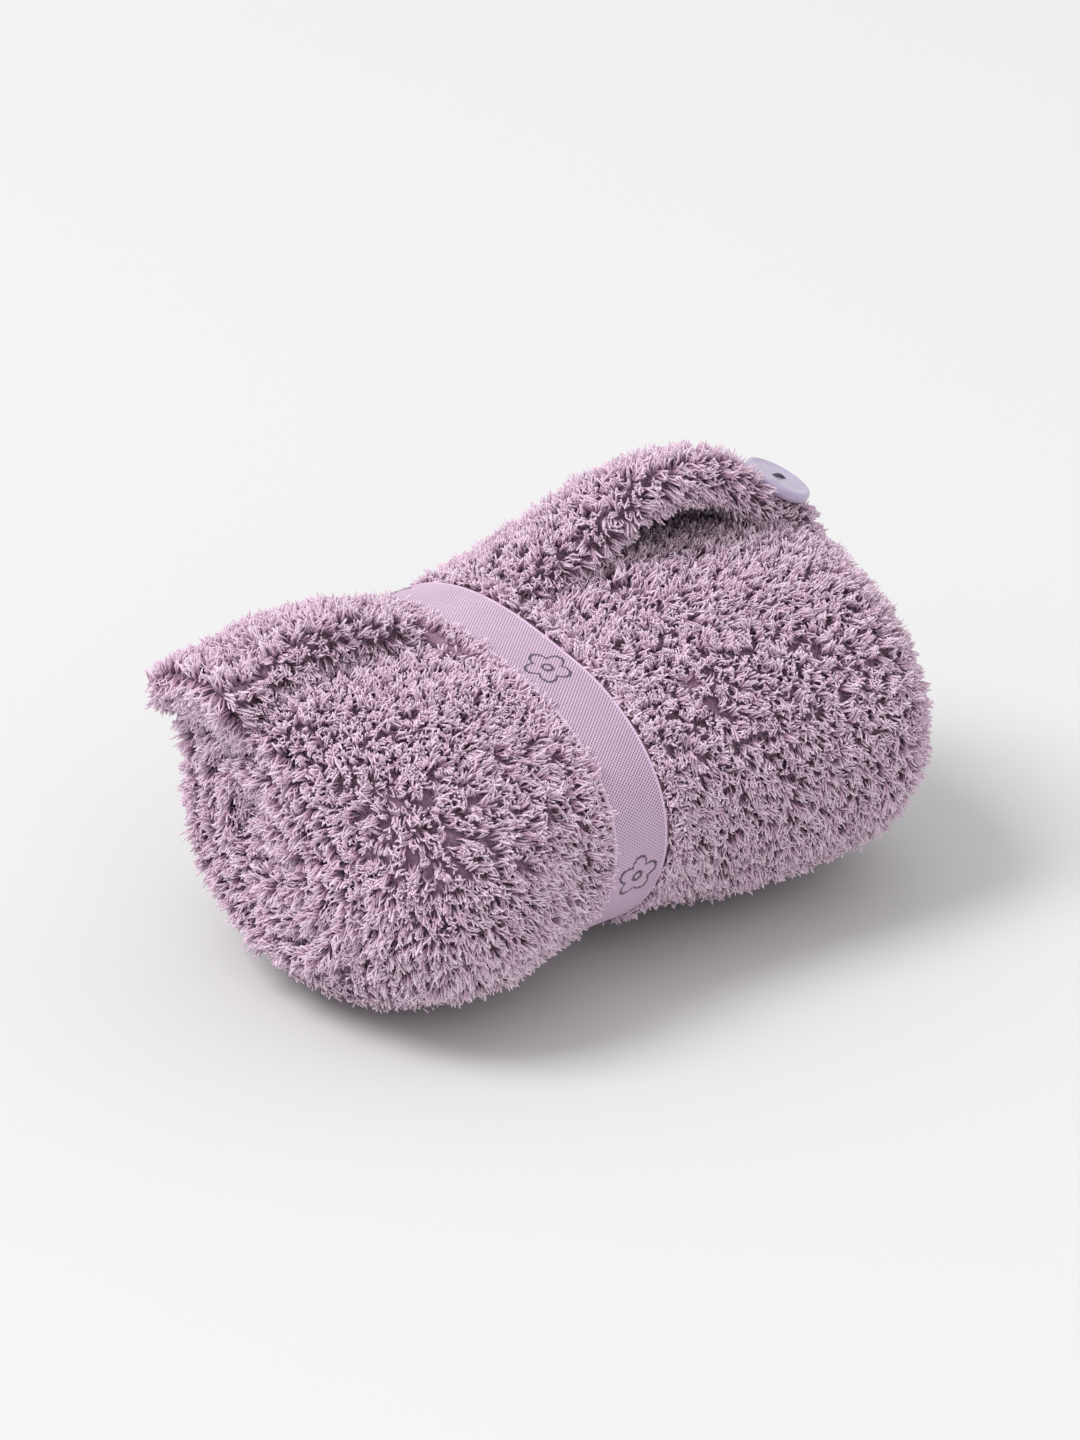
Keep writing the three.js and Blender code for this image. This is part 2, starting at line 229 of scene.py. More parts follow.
# Inside the last turn: share runs from the middle of the roll to the strip's inner end.
def inCore(x, angle, share):
    y, z = sectionPoint(angle, roll["strip"] + roll["turnGap"])
    return roundEnd(x, y * share, z * share)


# The free end: the ear on the left and the button flap on the right.

flap = {"edgeAngle": 2.0, "earEdgeAngle": 12.0, "earReach": 0.107, "buttonReach": 0.143, "earDroop": 0.009,
        "droop": 0.019, "crestLift": 0.014, "crestPeak": 0.083, "crestSpread": 0.028, "crestPower": 4,
        "cornerPull": 0.004, "earTaper": 0.016, "earThick": 0.9, "earFrom": 0.058, "earTo": 0.098,
        "edgeRise": 13.0, "edgeFrom": 0.020, "edgeTo": 0.075, "pinchAngle": 340.0, "waistBlend": 0.03,
        "root": 6.0, "thin": 0.001, "endInset": 0.003, "angleStep": 2.0, "step": 0.003}


def liftAt(x):
    rounding = np.where(x < 0, roundingAt(x), 0)
    aside = ((x - flap["crestPeak"]) / flap["crestSpread"]) ** flap["crestPower"]
    crest = flap["crestLift"] * np.exp(-aside)
    past = np.maximum((x - rightLength + roll["endRound"]) / roll["endRound"], 0)
    right = crest * smoothStep((x - waistHalf) / roll["rightRise"]) - flap["droop"] * past * past
    return np.where(x < 0, -flap["earDroop"] * rounding, right)


def waistInset(angle):
    closing = smoothStep((angle - flap["pinchAngle"]) / (360 + roll["hinge"] - flap["pinchAngle"]))
    return mix(insetAt(np.minimum(angle, flap["pinchAngle"])), 0, closing)


# The button's seat: its thread's foot and the way it faces, from the joints.
joints = {joint["name"]: joint for joint in frame["joints"]}
buttonAxis = Vector(joints["button_turn"]["axis"]).normalized()
shankFoot = Vector(joints["button_tilt"]["pos_m"])
pocket = {"bare": 0.0065, "full": 0.0165, "front": 0.5, "sink": 0.0004}


def seatOf(points):
    away = points - np.array(shankFoot)
    rise = away @ np.array(buttonAxis)
    flat = away - rise[..., None] * np.array(buttonAxis)
    flat[..., 1] = np.where(flat[..., 1] < 0, flat[..., 1] * pocket["front"], flat[..., 1])
    aside = np.linalg.norm(flat, axis=-1)
    return rise, smoothStep((aside - pocket["bare"]) / (pocket["full"] - pocket["bare"]))


# The cloth under the button is drawn down to the foot of its thread.
def pressedAtButton(points):
    rise, clear = seatOf(points)
    sunk = mix(np.minimum(rise, -pocket["sink"]), rise, clear)
    return points + (sunk - rise)[..., None] * np.array(buttonAxis)


# Beside the band the button flap's free edge lies further back than at its crest.
def edgeShift(x, angle):
    early = np.where(x > 0, 1 - smoothStep((x - flap["edgeFrom"]) / (flap["edgeTo"] - flap["edgeFrom"])), 0)
    return angle + flap["edgeRise"] * early * smoothStep((roll["hinge"] - angle) / roll["hinge"])


# Towards its tip the ear thickens downwards, and its lower side draws back to the roll's end.
def earTip(x):
    return np.where(x < 0, smoothStep((-x - flap["earFrom"]) / (flap["earTo"] - flap["earFrom"])), 0)


def inFlap(x, angle, depth):
    y, z = sectionPoint(edgeShift(x, angle), depth * (1 + flap["earThick"] * earTip(x)))
    free = smoothStep((roll["hinge"] - angle) / (roll["hinge"] - flap["edgeAngle"]))
    point = placeSection(x + flap["earTaper"] * earTip(x) * smoothStep(depth / roll["strip"]), y, z)
    far = smoothStep((x - flap["crestPeak"]) / (flap["buttonReach"] - flap["crestPeak"]))
    point[..., 1] -= flap["cornerPull"] * free * free * far
    point[..., 2] += liftAt(x) * free
    return pressedAtButton(point)


# Towards the band the free end is squeezed, so that it leaves the band as thin as it lies under it.
def squeezed(x, angle, share):
    full = pile["depth"] + share * (roll["strip"] - 2 * pile["depth"])
    top = waistInset(angle + 360) - insetAt(angle)
    low = roll["strip"] - flap["thin"]
    tight = mix(np.minimum(top, low - flap["thin"]), low, share)
    open_ = smoothStep((np.abs(x) - waistHalf) / flap["waistBlend"])
    return mix(tight, full, open_)


# Mesh helpers.

def gridFaces(rows, columns, closed=False):
    faces = []
    wide = columns if closed else columns - 1
    for i in range(rows - 1):
        for j in range(wide):
            k = (j + 1) % columns
            faces.append((i * columns + j, i * columns + k, (i + 1) * columns + k, (i + 1) * columns + j))
    return faces


def newMesh(name, points, faces, material=None):
    mesh = bpy.data.meshes.new(name)
    mesh.from_pydata(np.asarray(points).reshape(-1, 3).tolist(), [], faces)
    mesh.validate()
    mesh.shade_smooth()
    if material:
        mesh.materials.append(material)
    return addObject(name, mesh)


def tidyMesh(item, mergeWithin=1e-6):
    work = bmesh.new()
    work.from_mesh(item.data)
    if mergeWithin:
        bmesh.ops.remove_doubles(work, verts=work.verts, dist=mergeWithin)
    bmesh.ops.recalc_face_normals(work, faces=work.faces)
    work.to_mesh(item.data)
    work.free()
    return item


def setValues(mesh, name, values):
    mesh.attributes.new(name, "FLOAT", "POINT").data.foreach_set("value", values)


# The plain mesh that an object's modifiers make.
def finishedMesh(item, keepLayers=False):
    graph = bpy.context.evaluated_depsgraph_get()
    graph.update()
    return bpy.data.meshes.new_from_object(item.evaluated_get(graph), preserve_all_data_layers=keepLayers,
                                           depsgraph=graph)


# A thick sheet: rows of rings, each the outer side and then the inner side backwards, capped at both ends.
def sheetMesh(name, place, xs, angles, depths, material):
    columns = 2 * len(angles)
    rows = []
    for x in xs:
        outer = place(np.full(len(angles), x), angles, depths(x, angles, 0))
        inner = place(np.full(len(angles), x), angles, depths(x, angles, 1))
        rows.append(np.concatenate([outer, inner[::-1]]))
    faces = gridFaces(len(rows), columns, closed=True)
    last = (len(rows) - 1) * columns
    for i in range(len(angles) - 1):
        cap = (i, i + 1, columns - 2 - i, columns - 1 - i)
        faces.append(tuple(reversed(cap)))
        faces.append(tuple(last + j for j in cap))
    return tidyMesh(newMesh(name, np.array(rows), faces, material))


# Materials.

# The band's hole colour is painted shade in its pinholes.
# The pile's root colour is painted shade deep in the pile.
colours = {"pileRootShade": (0.42, 0.24, 0.35), "pileMid": (0.68, 0.48, 0.61), "pileTip": (0.94, 0.81, 0.90),
           "pileWarm": (0.86, 0.71, 0.81), "backing": (0.42, 0.255, 0.36), "band": (0.64, 0.47, 0.62),
           "holeShade": (0.10, 0.05, 0.095), "motif": (0.10, 0.08, 0.11), "hem": (0.42, 0.29, 0.41),
           "thread": (0.13, 0.10, 0.15), "button": (0.40, 0.33, 0.49), "buttonPale": (0.50, 0.43, 0.60)}


clothLook = {"sheenRoughness": 0.5, "sheenTint": (0.95, 0.85, 0.95, 1), "bump": 0.6, "rowShade": 0.55,
             "mottle": 0.5, "mottleScale": 0.3}


def newMaterial(name, roughness, sheen=0.0, specular=0.3):
    material = bpy.data.materials.new(name)
    material.use_nodes = True
    shader = material.node_tree.nodes["Principled BSDF"]
    shader.inputs["Roughness"].default_value = roughness
    shader.inputs["Sheen Weight"].default_value = sheen
    shader.inputs["Sheen Roughness"].default_value = clothLook["sheenRoughness"]
    shader.inputs["Sheen Tint"].default_value = clothLook["sheenTint"]
    shader.inputs["Specular IOR Level"].default_value = specular
    return material, material.node_tree, shader


def addNode(tree, kind, **inputs):
    node = tree.nodes.new(kind)
    for name, value in inputs.items():
        if hasattr(value, "is_output"):
            tree.links.new(value, node.inputs[name])
        else:
            node.inputs[name].default_value = value
    return node


def mathNode(tree, operation, first, second):
    node = tree.nodes.new("ShaderNodeMath")
    node.operation = operation
    for index, value in enumerate((first, second)):
        if hasattr(value, "is_output"):
            tree.links.new(value, node.inputs[index])
        else:
            node.inputs[index].default_value = value
    return node.outputs[0]


def rampNode(tree, factor, stops):
    node = tree.nodes.new("ShaderNodeValToRGB")
    elements = node.color_ramp.elements
    while len(elements) < len(stops):
        elements.new(0.5)
    for element, (place, colour) in zip(elements, stops):
        element.position = place
        element.color = (*colour, 1)
    tree.links.new(factor, node.inputs["Fac"])
    return node.outputs["Color"]


def mixColours(tree, factor, first, second, blend="MIX"):
    node = tree.nodes.new("ShaderNodeMix")
    node.data_type = "RGBA"
    node.blend_type = blend
    sockets = {0: factor, 6: first, 7: second}
    for index, value in sockets.items():
        if hasattr(value, "is_output"):
            tree.links.new(value, node.inputs[index])
        else:
            node.inputs[index].default_value = value if index == 0 else (*value, 1)
    return node.outputs[2]


# Tuft colour: dark at the root, which is painted shade deep in the pile, and pale at the tip, with every tuft
# a little different.
def makePile():
    material, tree, shader = newMaterial("curlyPile", roughness=0.85, sheen=0.35, specular=0.15)
    place = tree.nodes.new("ShaderNodeUVMap")
    place.uv_map = "OFBake"
    parts = addNode(tree, "ShaderNodeSeparateXYZ", Vector=place.outputs["UV"])
    # The root stop of this ramp is painted shade at the foot of the tufts.
    along = rampNode(tree, parts.outputs["Y"], [(0.0, colours["pileRootShade"]), (0.38, colours["pileMid"]),
                                                (0.8, colours["pileTip"]), (1.0, colours["pileTip"])])
    warm = mixColours(tree, 1.0, along, colours["pileWarm"], "MULTIPLY")
    shade = rampNode(tree, parts.outputs["X"], [(0.1, (1, 1, 1)), (0.9, (0, 0, 0))])
    tint = mixColours(tree, shade, along, warm)
    tree.links.new(tint, shader.inputs["Base Color"])
    return material


# A fine knit relief for the cloth that the pile is sewn through.
def knitGroup():
    group = bpy.data.node_groups.new("knitRows", "ShaderNodeTree")
    group.interface.new_socket("Pitch", in_out="INPUT", socket_type="NodeSocketFloat")
    group.interface.new_socket("Rows", in_out="OUTPUT", socket_type="NodeSocketFloat")
    entry = group.nodes.new("NodeGroupInput")
    leave = group.nodes.new("NodeGroupOutput")
    where = group.nodes.new("ShaderNodeTexCoord")
    scaled = group.nodes.new("ShaderNodeVectorMath")
    scaled.operation = "SCALE"
    group.links.new(where.outputs["Object"], scaled.inputs[0])
    group.links.new(entry.outputs["Pitch"], scaled.inputs["Scale"])
    cells = addNode(group, "ShaderNodeTexVoronoi", Vector=scaled.outputs[0], Scale=1.0)
    noise = addNode(group, "ShaderNodeTexNoise", Vector=scaled.outputs[0], Scale=clothLook["mottleScale"])
    mottle = mathNode(group, "MULTIPLY", noise.outputs[0], clothLook["mottle"])
    rows = mathNode(group, "ADD", cells.outputs["Distance"], mottle)
    group.links.new(rows, leave.inputs["Rows"])
    return group


knit = knitGroup()


def useKnit(tree, pitch):
    node = tree.nodes.new("ShaderNodeGroup")
    node.node_tree = knit
    node.inputs["Pitch"].default_value = pitch
    return node.outputs["Rows"]


def addBump(tree, shader, height, distance):
    bump = addNode(tree, "ShaderNodeBump", Height=height, Strength=clothLook["bump"], Distance=distance)
    tree.links.new(bump.outputs["Normal"], shader.inputs["Normal"])


def makeCloth(name, colour, pitch, distance):
    material, tree, shader = newMaterial(name, roughness=0.92, sheen=0.2, specular=0.1)
    rows = useKnit(tree, pitch)
    dark = tuple(clothLook["rowShade"] * value for value in colour)
    tree.links.new(rampNode(tree, rows, [(0.15, colour), (0.95, dark)]), shader.inputs["Base Color"])
    addBump(tree, shader, rows, distance)
    return material


pileMaterial = makePile()
backingMaterial = makeCloth("knitBacking", colours["backing"], pitch=900, distance=0.0003)
hemMaterial = makeCloth("overlockYarn", colours["hem"], pitch=1600, distance=0.0002)
threadMaterial = makeCloth("twistedThread", colours["thread"], pitch=3000, distance=0.00015)
print("stage: materials")

# Tufts.

tuft = {"kinds": 9, "seed": 40, "strands": 7, "length": 0.0068, "shortest": 0.78, "longest": 1.12,
        "spread": 0.0014, "radius": 0.00043, "thinnest": 0.8, "widest": 1.15, "rings": (0.0, 0.48, 0.9, 1.0),
        "fullness": (0.8, 1.0, 0.85), "sides": 3, "ringTwist": 0.5, "curl": 0.0011, "curlTurn": 4.5,
        "curlReach": 1.15, "splay": 0.0016, "splayPower": 2.5, "gatherIn": 1.2, "gatherOut": 0.9, "sag": 0.12,
        "shadeStep": 3}


def strandPath(random):
    start = random.uniform(0, 2 * math.pi)
    base = tuft["spread"] * math.sqrt(random.uniform(0, 1))
    turn = random.uniform(-1, 1) * tuft["curlTurn"]
    lean = random.uniform(0, 2 * math.pi)
    length = tuft["length"] * random.uniform(tuft["shortest"], tuft["longest"])
    points = []
    for share in tuft["rings"]:
        gather = 1 - tuft["gatherIn"] * share + tuft["gatherOut"] * share * share
        curl = tuft["curl"] * math.sin(math.pi * min(share * tuft["curlReach"], 1))
        splay = tuft["splay"] * share ** tuft["splayPower"]
        x = base * gather * math.cos(start) + curl * math.cos(start + turn * share) + splay * math.cos(lean)
        y = base * gather * math.sin(start) + curl * math.sin(start + turn * share) + splay * math.sin(lean)
        points.append(Vector((x, y, length * share * (1 - tuft["sag"] * share))))
    return points


def makeTuft(index, holder):
    random = np.random.RandomState(tuft["seed"] + index)
    points, faces, along, across = [], [], [], []
    rings, sides = len(tuft["fullness"]), tuft["sides"]
    for strand in range(tuft["strands"]):
        path = strandPath(random)
        first = len(points)
        width = tuft["radius"] * random.uniform(tuft["thinnest"], tuft["widest"])
        twist = random.uniform(0, 2 * math.pi)
        shade = strand * tuft["shadeStep"] % tuft["strands"] / tuft["strands"]
        for ring in range(rings):
            share = tuft["rings"][ring]
            radius = width * tuft["fullness"][ring]
            for side in range(sides):
                turn = twist + 2 * math.pi * side / sides + tuft["ringTwist"] * share
                points.append(path[ring] + Vector((radius * math.cos(turn), radius * math.sin(turn), 0)))
                along.append(share)
                across.append(shade)
        points.append(path[-1])
        along.append(1.0)
        across.append(shade)
        faces.append(tuple(first + side for side in reversed(range(sides))))
        for ring in range(rings - 1):
            for side in range(sides):
                low = first + ring * sides
                nextSide = (side + 1) % sides
                faces.append((low + side, low + nextSide, low + sides + nextSide, low + sides + side))
        top = first + (rings - 1) * sides
        for side in range(sides):
            faces.append((top + side, top + (side + 1) % sides, first + rings * sides))
    mesh = bpy.data.meshes.new(f"tuft{index}")
    mesh.from_pydata([tuple(point) for point in points], [], faces)
    mesh.shade_smooth()
    setValues(mesh, "along", along)
    setValues(mesh, "across", across)
    return addObject(f"tuft{index}", mesh, holder)


tuftHolder = bpy.data.collections.new("tufts")
tuftShapes = [makeTuft(index, tuftHolder) for index in range(tuft["kinds"])]

# Each of these is an input of the tree, and a patch of pile may change any of them.
furSettings = {"spacing": 0.0022, "length": 1.0, "width": 1.0, "lean": 0.40, "swirl": 0.85, "jitter": 0.48}
scatter = {"densest": 1e6, "swirlScale": 140, "swirlMiddle": 0.5, "spin": 6.283, "shortest": 0.72,
           "longest": 1.25, "thinnest": 0.8, "widest": 1.2, "shadeScale": 45, "shadeHalf": 0.5}


def makeFurTree():
    tree = bpy.data.node_groups.new("furScatter", "GeometryNodeTree")
    face = tree.interface
    face.new_socket("Geometry", in_out="INPUT", socket_type="NodeSocketGeometry")
    for name, value in furSettings.items():
        socket = face.new_socket(name.capitalize(), in_out="INPUT", socket_type="NodeSocketFloat")
        socket.default_value = value
    face.new_socket("Comb", in_out="INPUT", socket_type="NodeSocketVector")
    face.new_socket("Seed", in_out="INPUT", socket_type="NodeSocketInt")
    face.new_socket("Tufts", in_out="INPUT", socket_type="NodeSocketCollection")
    face.new_socket("Material", in_out="INPUT", socket_type="NodeSocketMaterial")
    face.new_socket("Geometry", in_out="OUTPUT", socket_type="NodeSocketGeometry")
    entry = tree.nodes.new("NodeGroupInput").outputs
    leave = tree.nodes.new("NodeGroupOutput")

    def add(kind, **settings):
        node = tree.nodes.new(kind)
        for name, value in settings.items():
            setattr(node, name, value)
        return node

    def join(output, node, name):
        tree.links.new(output, node.inputs[name])

    def vector(operation, first, second=None, scale=None):
        node = add("ShaderNodeVectorMath", operation=operation)
        tree.links.new(first, node.inputs[0])
        if second is not None:
            tree.links.new(second, node.inputs[1])
        if scale is not None:
            tree.links.new(scale, node.inputs["Scale"])
        return node.outputs[0]

    def number(operation, first, second):
        return mathNode(tree, operation, first, second)

    def named(name):
        node = add("GeometryNodeInputNamedAttribute", data_type="FLOAT")
        node.inputs["Name"].default_value = name
        return node.outputs["Attribute"]

    def randomNumber(low, high, salt):
        node = add("FunctionNodeRandomValue", data_type="FLOAT")
        node.inputs[2].default_value = low
        node.inputs[3].default_value = high
        join(number("ADD", entry["Seed"], salt), node, "Seed")
        return node.outputs[1]

    spread = add("GeometryNodeDistributePointsOnFaces", distribute_method="POISSON")
    join(entry["Geometry"], spread, "Mesh")
    join(entry["Spacing"], spread, "Distance Min")
    spread.inputs["Density Max"].default_value = scatter["densest"]
    join(named("furDensity"), spread, "Density Factor")
    join(entry["Seed"], spread, "Seed")

    place = add("GeometryNodeInputPosition").outputs[0]
    noise = add("ShaderNodeTexNoise")
    noise.inputs["Scale"].default_value = scatter["swirlScale"]
    noise.inputs["Detail"].default_value = 1
    join(place, noise, "Vector")
    middle = add("ShaderNodeCombineXYZ")
    for axis in range(3):
        middle.inputs[axis].default_value = scatter["swirlMiddle"]
    eitherWay = vector("SUBTRACT", noise.outputs["Color"], middle.outputs[0])
    swirl = vector("SCALE", eitherWay, scale=entry["Swirl"])
    jitter = add("FunctionNodeRandomValue", data_type="FLOAT_VECTOR")
    jitter.inputs[0].default_value = (-1, -1, -1)
    jitter.inputs[1].default_value = (1, 1, 1)
    join(entry["Seed"], jitter, "Seed")
    loose = vector("SCALE", jitter.outputs[0], scale=entry["Jitter"])
    combed = vector("SCALE", entry["Comb"], scale=entry["Lean"])
    way = vector("ADD", vector("ADD", spread.outputs["Normal"], combed), vector("ADD", swirl, loose))
    turn = add("FunctionNodeAlignRotationToVector", axis="Z")
    join(way, turn, "Vector")
    spin = add("FunctionNodeAxisAngleToRotation")
    spin.inputs["Axis"].default_value = (0, 0, 1)
    join(randomNumber(0, scatter["spin"], salt=3), spin, "Angle")
    rotation = add("FunctionNodeRotateRotation", rotation_space="LOCAL")
    join(turn.outputs[0], rotation, "Rotation")
    join(spin.outputs[0], rotation, "Rotate By")

    uneven = randomNumber(scatter["shortest"], scatter["longest"], salt=5)
    length = number("MULTIPLY", number("MULTIPLY", named("furLength"), entry["Length"]), uneven)
    width = number("MULTIPLY", entry["Width"], randomNumber(scatter["thinnest"], scatter["widest"], salt=7))
    size = add("ShaderNodeCombineXYZ")
    join(width, size, "X")
    join(width, size, "Y")
    join(length, size, "Z")
    kinds = add("GeometryNodeCollectionInfo")
    join(entry["Tufts"], kinds, "Collection")
    kinds.inputs["Separate Children"].default_value = True
    kinds.inputs["Reset Children"].default_value = True
    kind = add("FunctionNodeRandomValue", data_type="INT")
    kind.inputs[4].default_value = 0
    kind.inputs[5].default_value = tuft["kinds"] - 1
    join(entry["Seed"], kind, "Seed")
    plant = add("GeometryNodeInstanceOnPoints")
    join(spread.outputs["Points"], plant, "Points")
    join(kinds.outputs[0], plant, "Instance")
    plant.inputs["Pick Instance"].default_value = True
    join(kind.outputs[2], plant, "Instance Index")
    join(rotation.outputs[0], plant, "Rotation")
    join(size.outputs[0], plant, "Scale")

    broad = add("ShaderNodeTexNoise")
    broad.inputs["Scale"].default_value = scatter["shadeScale"]
    join(place, broad, "Vector")
    drift = number("MULTIPLY", broad.outputs[0], scatter["shadeHalf"])
    shade = number("ADD", drift, randomNumber(0.0, scatter["shadeHalf"], salt=11))
    keep = add("GeometryNodeStoreNamedAttribute", data_type="FLOAT", domain="INSTANCE")
    keep.inputs["Name"].default_value = "shade"
    join(plant.outputs[0], keep, "Geometry")
    join(shade, keep, "Value")
    real = add("GeometryNodeRealizeInstances")
    join(keep.outputs[0], real, "Geometry")
    paint = add("GeometryNodeSetMaterial")
    join(real.outputs[0], paint, "Geometry")
    join(entry["Material"], paint, "Material")
    tree.links.new(paint.outputs[0], leave.inputs[0])
    return tree


furTree = makeFurTree()


def setInput(modifier, tree, name, value):
    for item in tree.interface.items_tree:
        if item.item_type == "SOCKET" and item.in_out == "INPUT" and item.name == name:
            modifier[item.identifier] = value
            return


def readValues(mesh, name):
    values = np.zeros(len(mesh.vertices), np.float32)
    mesh.attributes[name].data.foreach_get("value", values)
    return values


# The tufts' own map: across it runs the tuft's shade, up it runs from root to tip.
tuftMap = {"left": 0.04, "shadeWide": 0.68, "strandWide": 0.24, "low": 0.02, "tall": 0.96}


def mapTufts(mesh):
    shade, along, across = (readValues(mesh, name) for name in ("shade", "along", "across"))
    corners = np.zeros(len(mesh.loops), np.int32)
    mesh.loops.foreach_get("vertex_index", corners)
    sideways = tuftMap["left"] + tuftMap["shadeWide"] * np.clip(shade, 0, 1) + tuftMap["strandWide"] * across
    spots = np.stack([sideways, tuftMap["low"] + tuftMap["tall"] * along], -1)
    layer = mesh.uv_layers.new(name="OFBake")
    layer.data.foreach_set("uv", spots[corners].astype(np.float32).ravel())
    for name in ("shade", "along", "across", "furDensity", "furLength"):
        if name in mesh.attributes:
            mesh.attributes.remove(mesh.attributes[name])


furPieces = []


# Plants tufts on a patch of surface: points are rows of places, and insides are places just below them.
def plantFur(name, points, insides, length, density, comb=(0, 0, -1), seed=1, **changes):
    settings = {**furSettings, **changes}
    rows, columns = points.shape[:2]
    across = points[:, 1:] - points[:, :-1]
    upwards = points[1:] - points[:-1]
    facing = np.cross(across[:-1], upwards[:, :-1])
    outward = (points - insides)[:-1, :-1]
    faces = gridFaces(rows, columns)
    if (facing * outward).sum() < 0:
        faces = [tuple(reversed(face)) for face in faces]
    patch = newMesh(name, points, faces)
    count = len(patch.data.vertices)
    for attribute, values in (("furLength", length), ("furDensity", density)):
        flat = np.broadcast_to(values, (rows, columns)).astype(np.float32).ravel()[:count]
        setValues(patch.data, attribute, flat)
    modifier = patch.modifiers.new("fur", "NODES")
    modifier.node_group = furTree
    for key, value in settings.items():
        setInput(modifier, furTree, key.capitalize(), value)
    setInput(modifier, furTree, "Comb", comb)
    setInput(modifier, furTree, "Seed", seed)
    setInput(modifier, furTree, "Tufts", tuftHolder)
    setInput(modifier, furTree, "Material", pileMaterial)
    patch.data.update_tag()
    grown = finishedMesh(patch, keepLayers=True)
    bpy.data.objects.remove(patch)
    mapTufts(grown)
    item = addObject(name, grown)
    triangles = sum(len(face.vertices) - 2 for face in grown.polygons)
    print("pile", name, triangles, "triangles")
    furPieces.append(item)
    return item


# The wound strip.

detail = {"angleStep": 4.0, "xStep": 0.004, "endInset": 0.002, "coreInset": 0.004, "coreTurn": 352,
          "pinnedPast": 0.004, "pinnedPastTurn": 1, "pinnedStep": 0.002}


def spread(low, high, step):
    return np.linspace(low, high, max(2, int(round((high - low) / step)) + 1))


def endOf(side):
    return leftLength if side < 0 else rightLength


# The cloth's face lies below the tips of the pile, and almost at the surface under the band.
def pileDepthAt(x):
    return mix(pile["underBand"], pile["depth"],
               smoothStep((np.abs(x) - waistHalf + pile["nearBandStart"]) / pile["nearBand"]))


def rollDepths(x, angles, side):
    return np.full(len(angles), pileDepthAt(x) if side == 0 else roll["strip"] - pile["depth"])


def flapDepths(x, angles, side):
    return squeezed(np.full(len(angles), x), angles, side)


def makeRollCloth():
    angles = spread(roll["hinge"], spiralEnd, detail["angleStep"])
    xs = spread(-leftLength + detail["endInset"], rightLength - detail["endInset"], detail["xStep"])
    return sheetMesh("wrapCloth", inRoll, xs, angles, rollDepths, backingMaterial)


def makeCore():
    angles = spread(spiralEnd - detail["coreTurn"], spiralEnd, detail["angleStep"])
    xs = spread(-leftLength + detail["coreInset"], rightLength - detail["coreInset"], detail["xStep"])
    depths = np.full(len(angles), roll["strip"] + roll["coreCut"])
    rows = [inRoll(np.full(len(angles), x), angles, depths) for x in xs]
    faces = gridFaces(len(rows), len(angles), closed=True)
    faces.append(tuple(range(len(angles))))
    last = (len(rows) - 1) * len(angles)
    faces.append(tuple(last + i for i in reversed(range(len(angles)))))
    return tidyMesh(newMesh("coreFold", np.array(rows), faces, backingMaterial))


# The strip's end, held flat between the band and the turn below it.
def makePinned():
    angles = spread(flap["pinchAngle"], 360 + roll["hinge"] + detail["pinnedPastTurn"], detail["angleStep"])
    half = waistHalf + detail["pinnedPast"]
    xs = spread(-half, half, detail["pinnedStep"])

    def depths(x, turns, side):
        if side:
            return np.full(len(turns), 0.0)
        return waistInset(turns) - insetAt(turns) + pile["underBand"]

    return sheetMesh("pinnedEdge", inRoll, xs, angles, depths, backingMaterial)


def makeFlapCloth(name, side, edge, reach):
    angles = spread(edge, roll["hinge"] + flap["root"], flap["angleStep"])
    xs = spread(waistHalf, reach - flap["endInset"], flap["step"]) * side
    return sheetMesh(name, inFlap, xs, angles, flapDepths, backingMaterial)


wrapCloth = makeRollCloth()
coreFold = makeCore()
pinnedEdge = makePinned()
earCloth = makeFlapCloth("earCloth", -1, flap["earEdgeAngle"], flap["earReach"])
flapCloth = makeFlapCloth("buttonFlapCloth", 1, flap["edgeAngle"], flap["buttonReach"])
print("stage: cloth")

# Pile on the roll.


# How long the pile is in each place, as a share of a tuft's full length.
pileLength = {"band": 0.45, "floor": 0.4, "besideLow": 0.3, "beside": 0.85, "endEdge": 0.62, "end": 1.08,
              "core": 1.05, "flapRoot": 0.5, "flap": 1.05, "flapUnder": 0.7, "flapEdge": 1.15, "hinge": 0.85,
              "flapEnd": 1.1, "underButton": 0.35, "edgeAtButton": 0.4}


# Pile gets short near the floor.
def aboveFloor(points):
    return np.clip((points[..., 2] - pile["floorFrom"]) / pile["floorFade"], 0, 1)


def furOnRoll(name, side, fromAngle, toAngle, seed, **changes):
    xs = side * spread(waistHalf - pile["tucked"], endOf(side) - pile["edgeInset"], pile["gridStep"])
    xs, angles = np.meshgrid(xs, spread(fromAngle, toAngle, pile["turnStep"]), indexing="ij")
    depth = pileDepthAt(xs)
    points = inRoll(xs, angles, depth)
    insides = inRoll(xs, angles, depth + pile["below"])
    away = np.abs(xs) - waistHalf
    nearBand = smoothStep((away + pile["shortStart"]) / pile["nearBand"])
    length = mix(pileLength["band"], 1.0, nearBand) * mix(pileLength["floor"], 1.0, aboveFloor(points))
    return plantFur(name, points, insides, length, 1.0, seed=seed, **changes)


# Six patches on each side, and how the pile of each differs from the rest.
quarters = {"top": (320, 406), "front": (276, 320), "low": (232, 276), "under": (140, 232),
            "behind": (94, 140), "back": (48, 94)}
quarterLooks = {"behind": {"spacing": 0.0026, "width": 1.15},
                "under": {"spacing": 0.0038, "width": 1.1, "lean": 0.9}}
quarterCombs = {"top": (0.3, -1, 0), "under": (0.3, -1, 0.6), "rest": (-0.5, 0, -1)}
for side, sideName in ((-1, "left"), (1, "right")):
    for index, (part, (low, high)) in enumerate(quarters.items()):
        combX, combY, combZ = quarterCombs.get(part, quarterCombs["rest"])
        furOnRoll(f"{sideName}Pile_{part}", side, low, high, seed=10 * index + 3 + side,
                  comb=(combX * side, combY, combZ), **quarterLooks.get(part, {}))


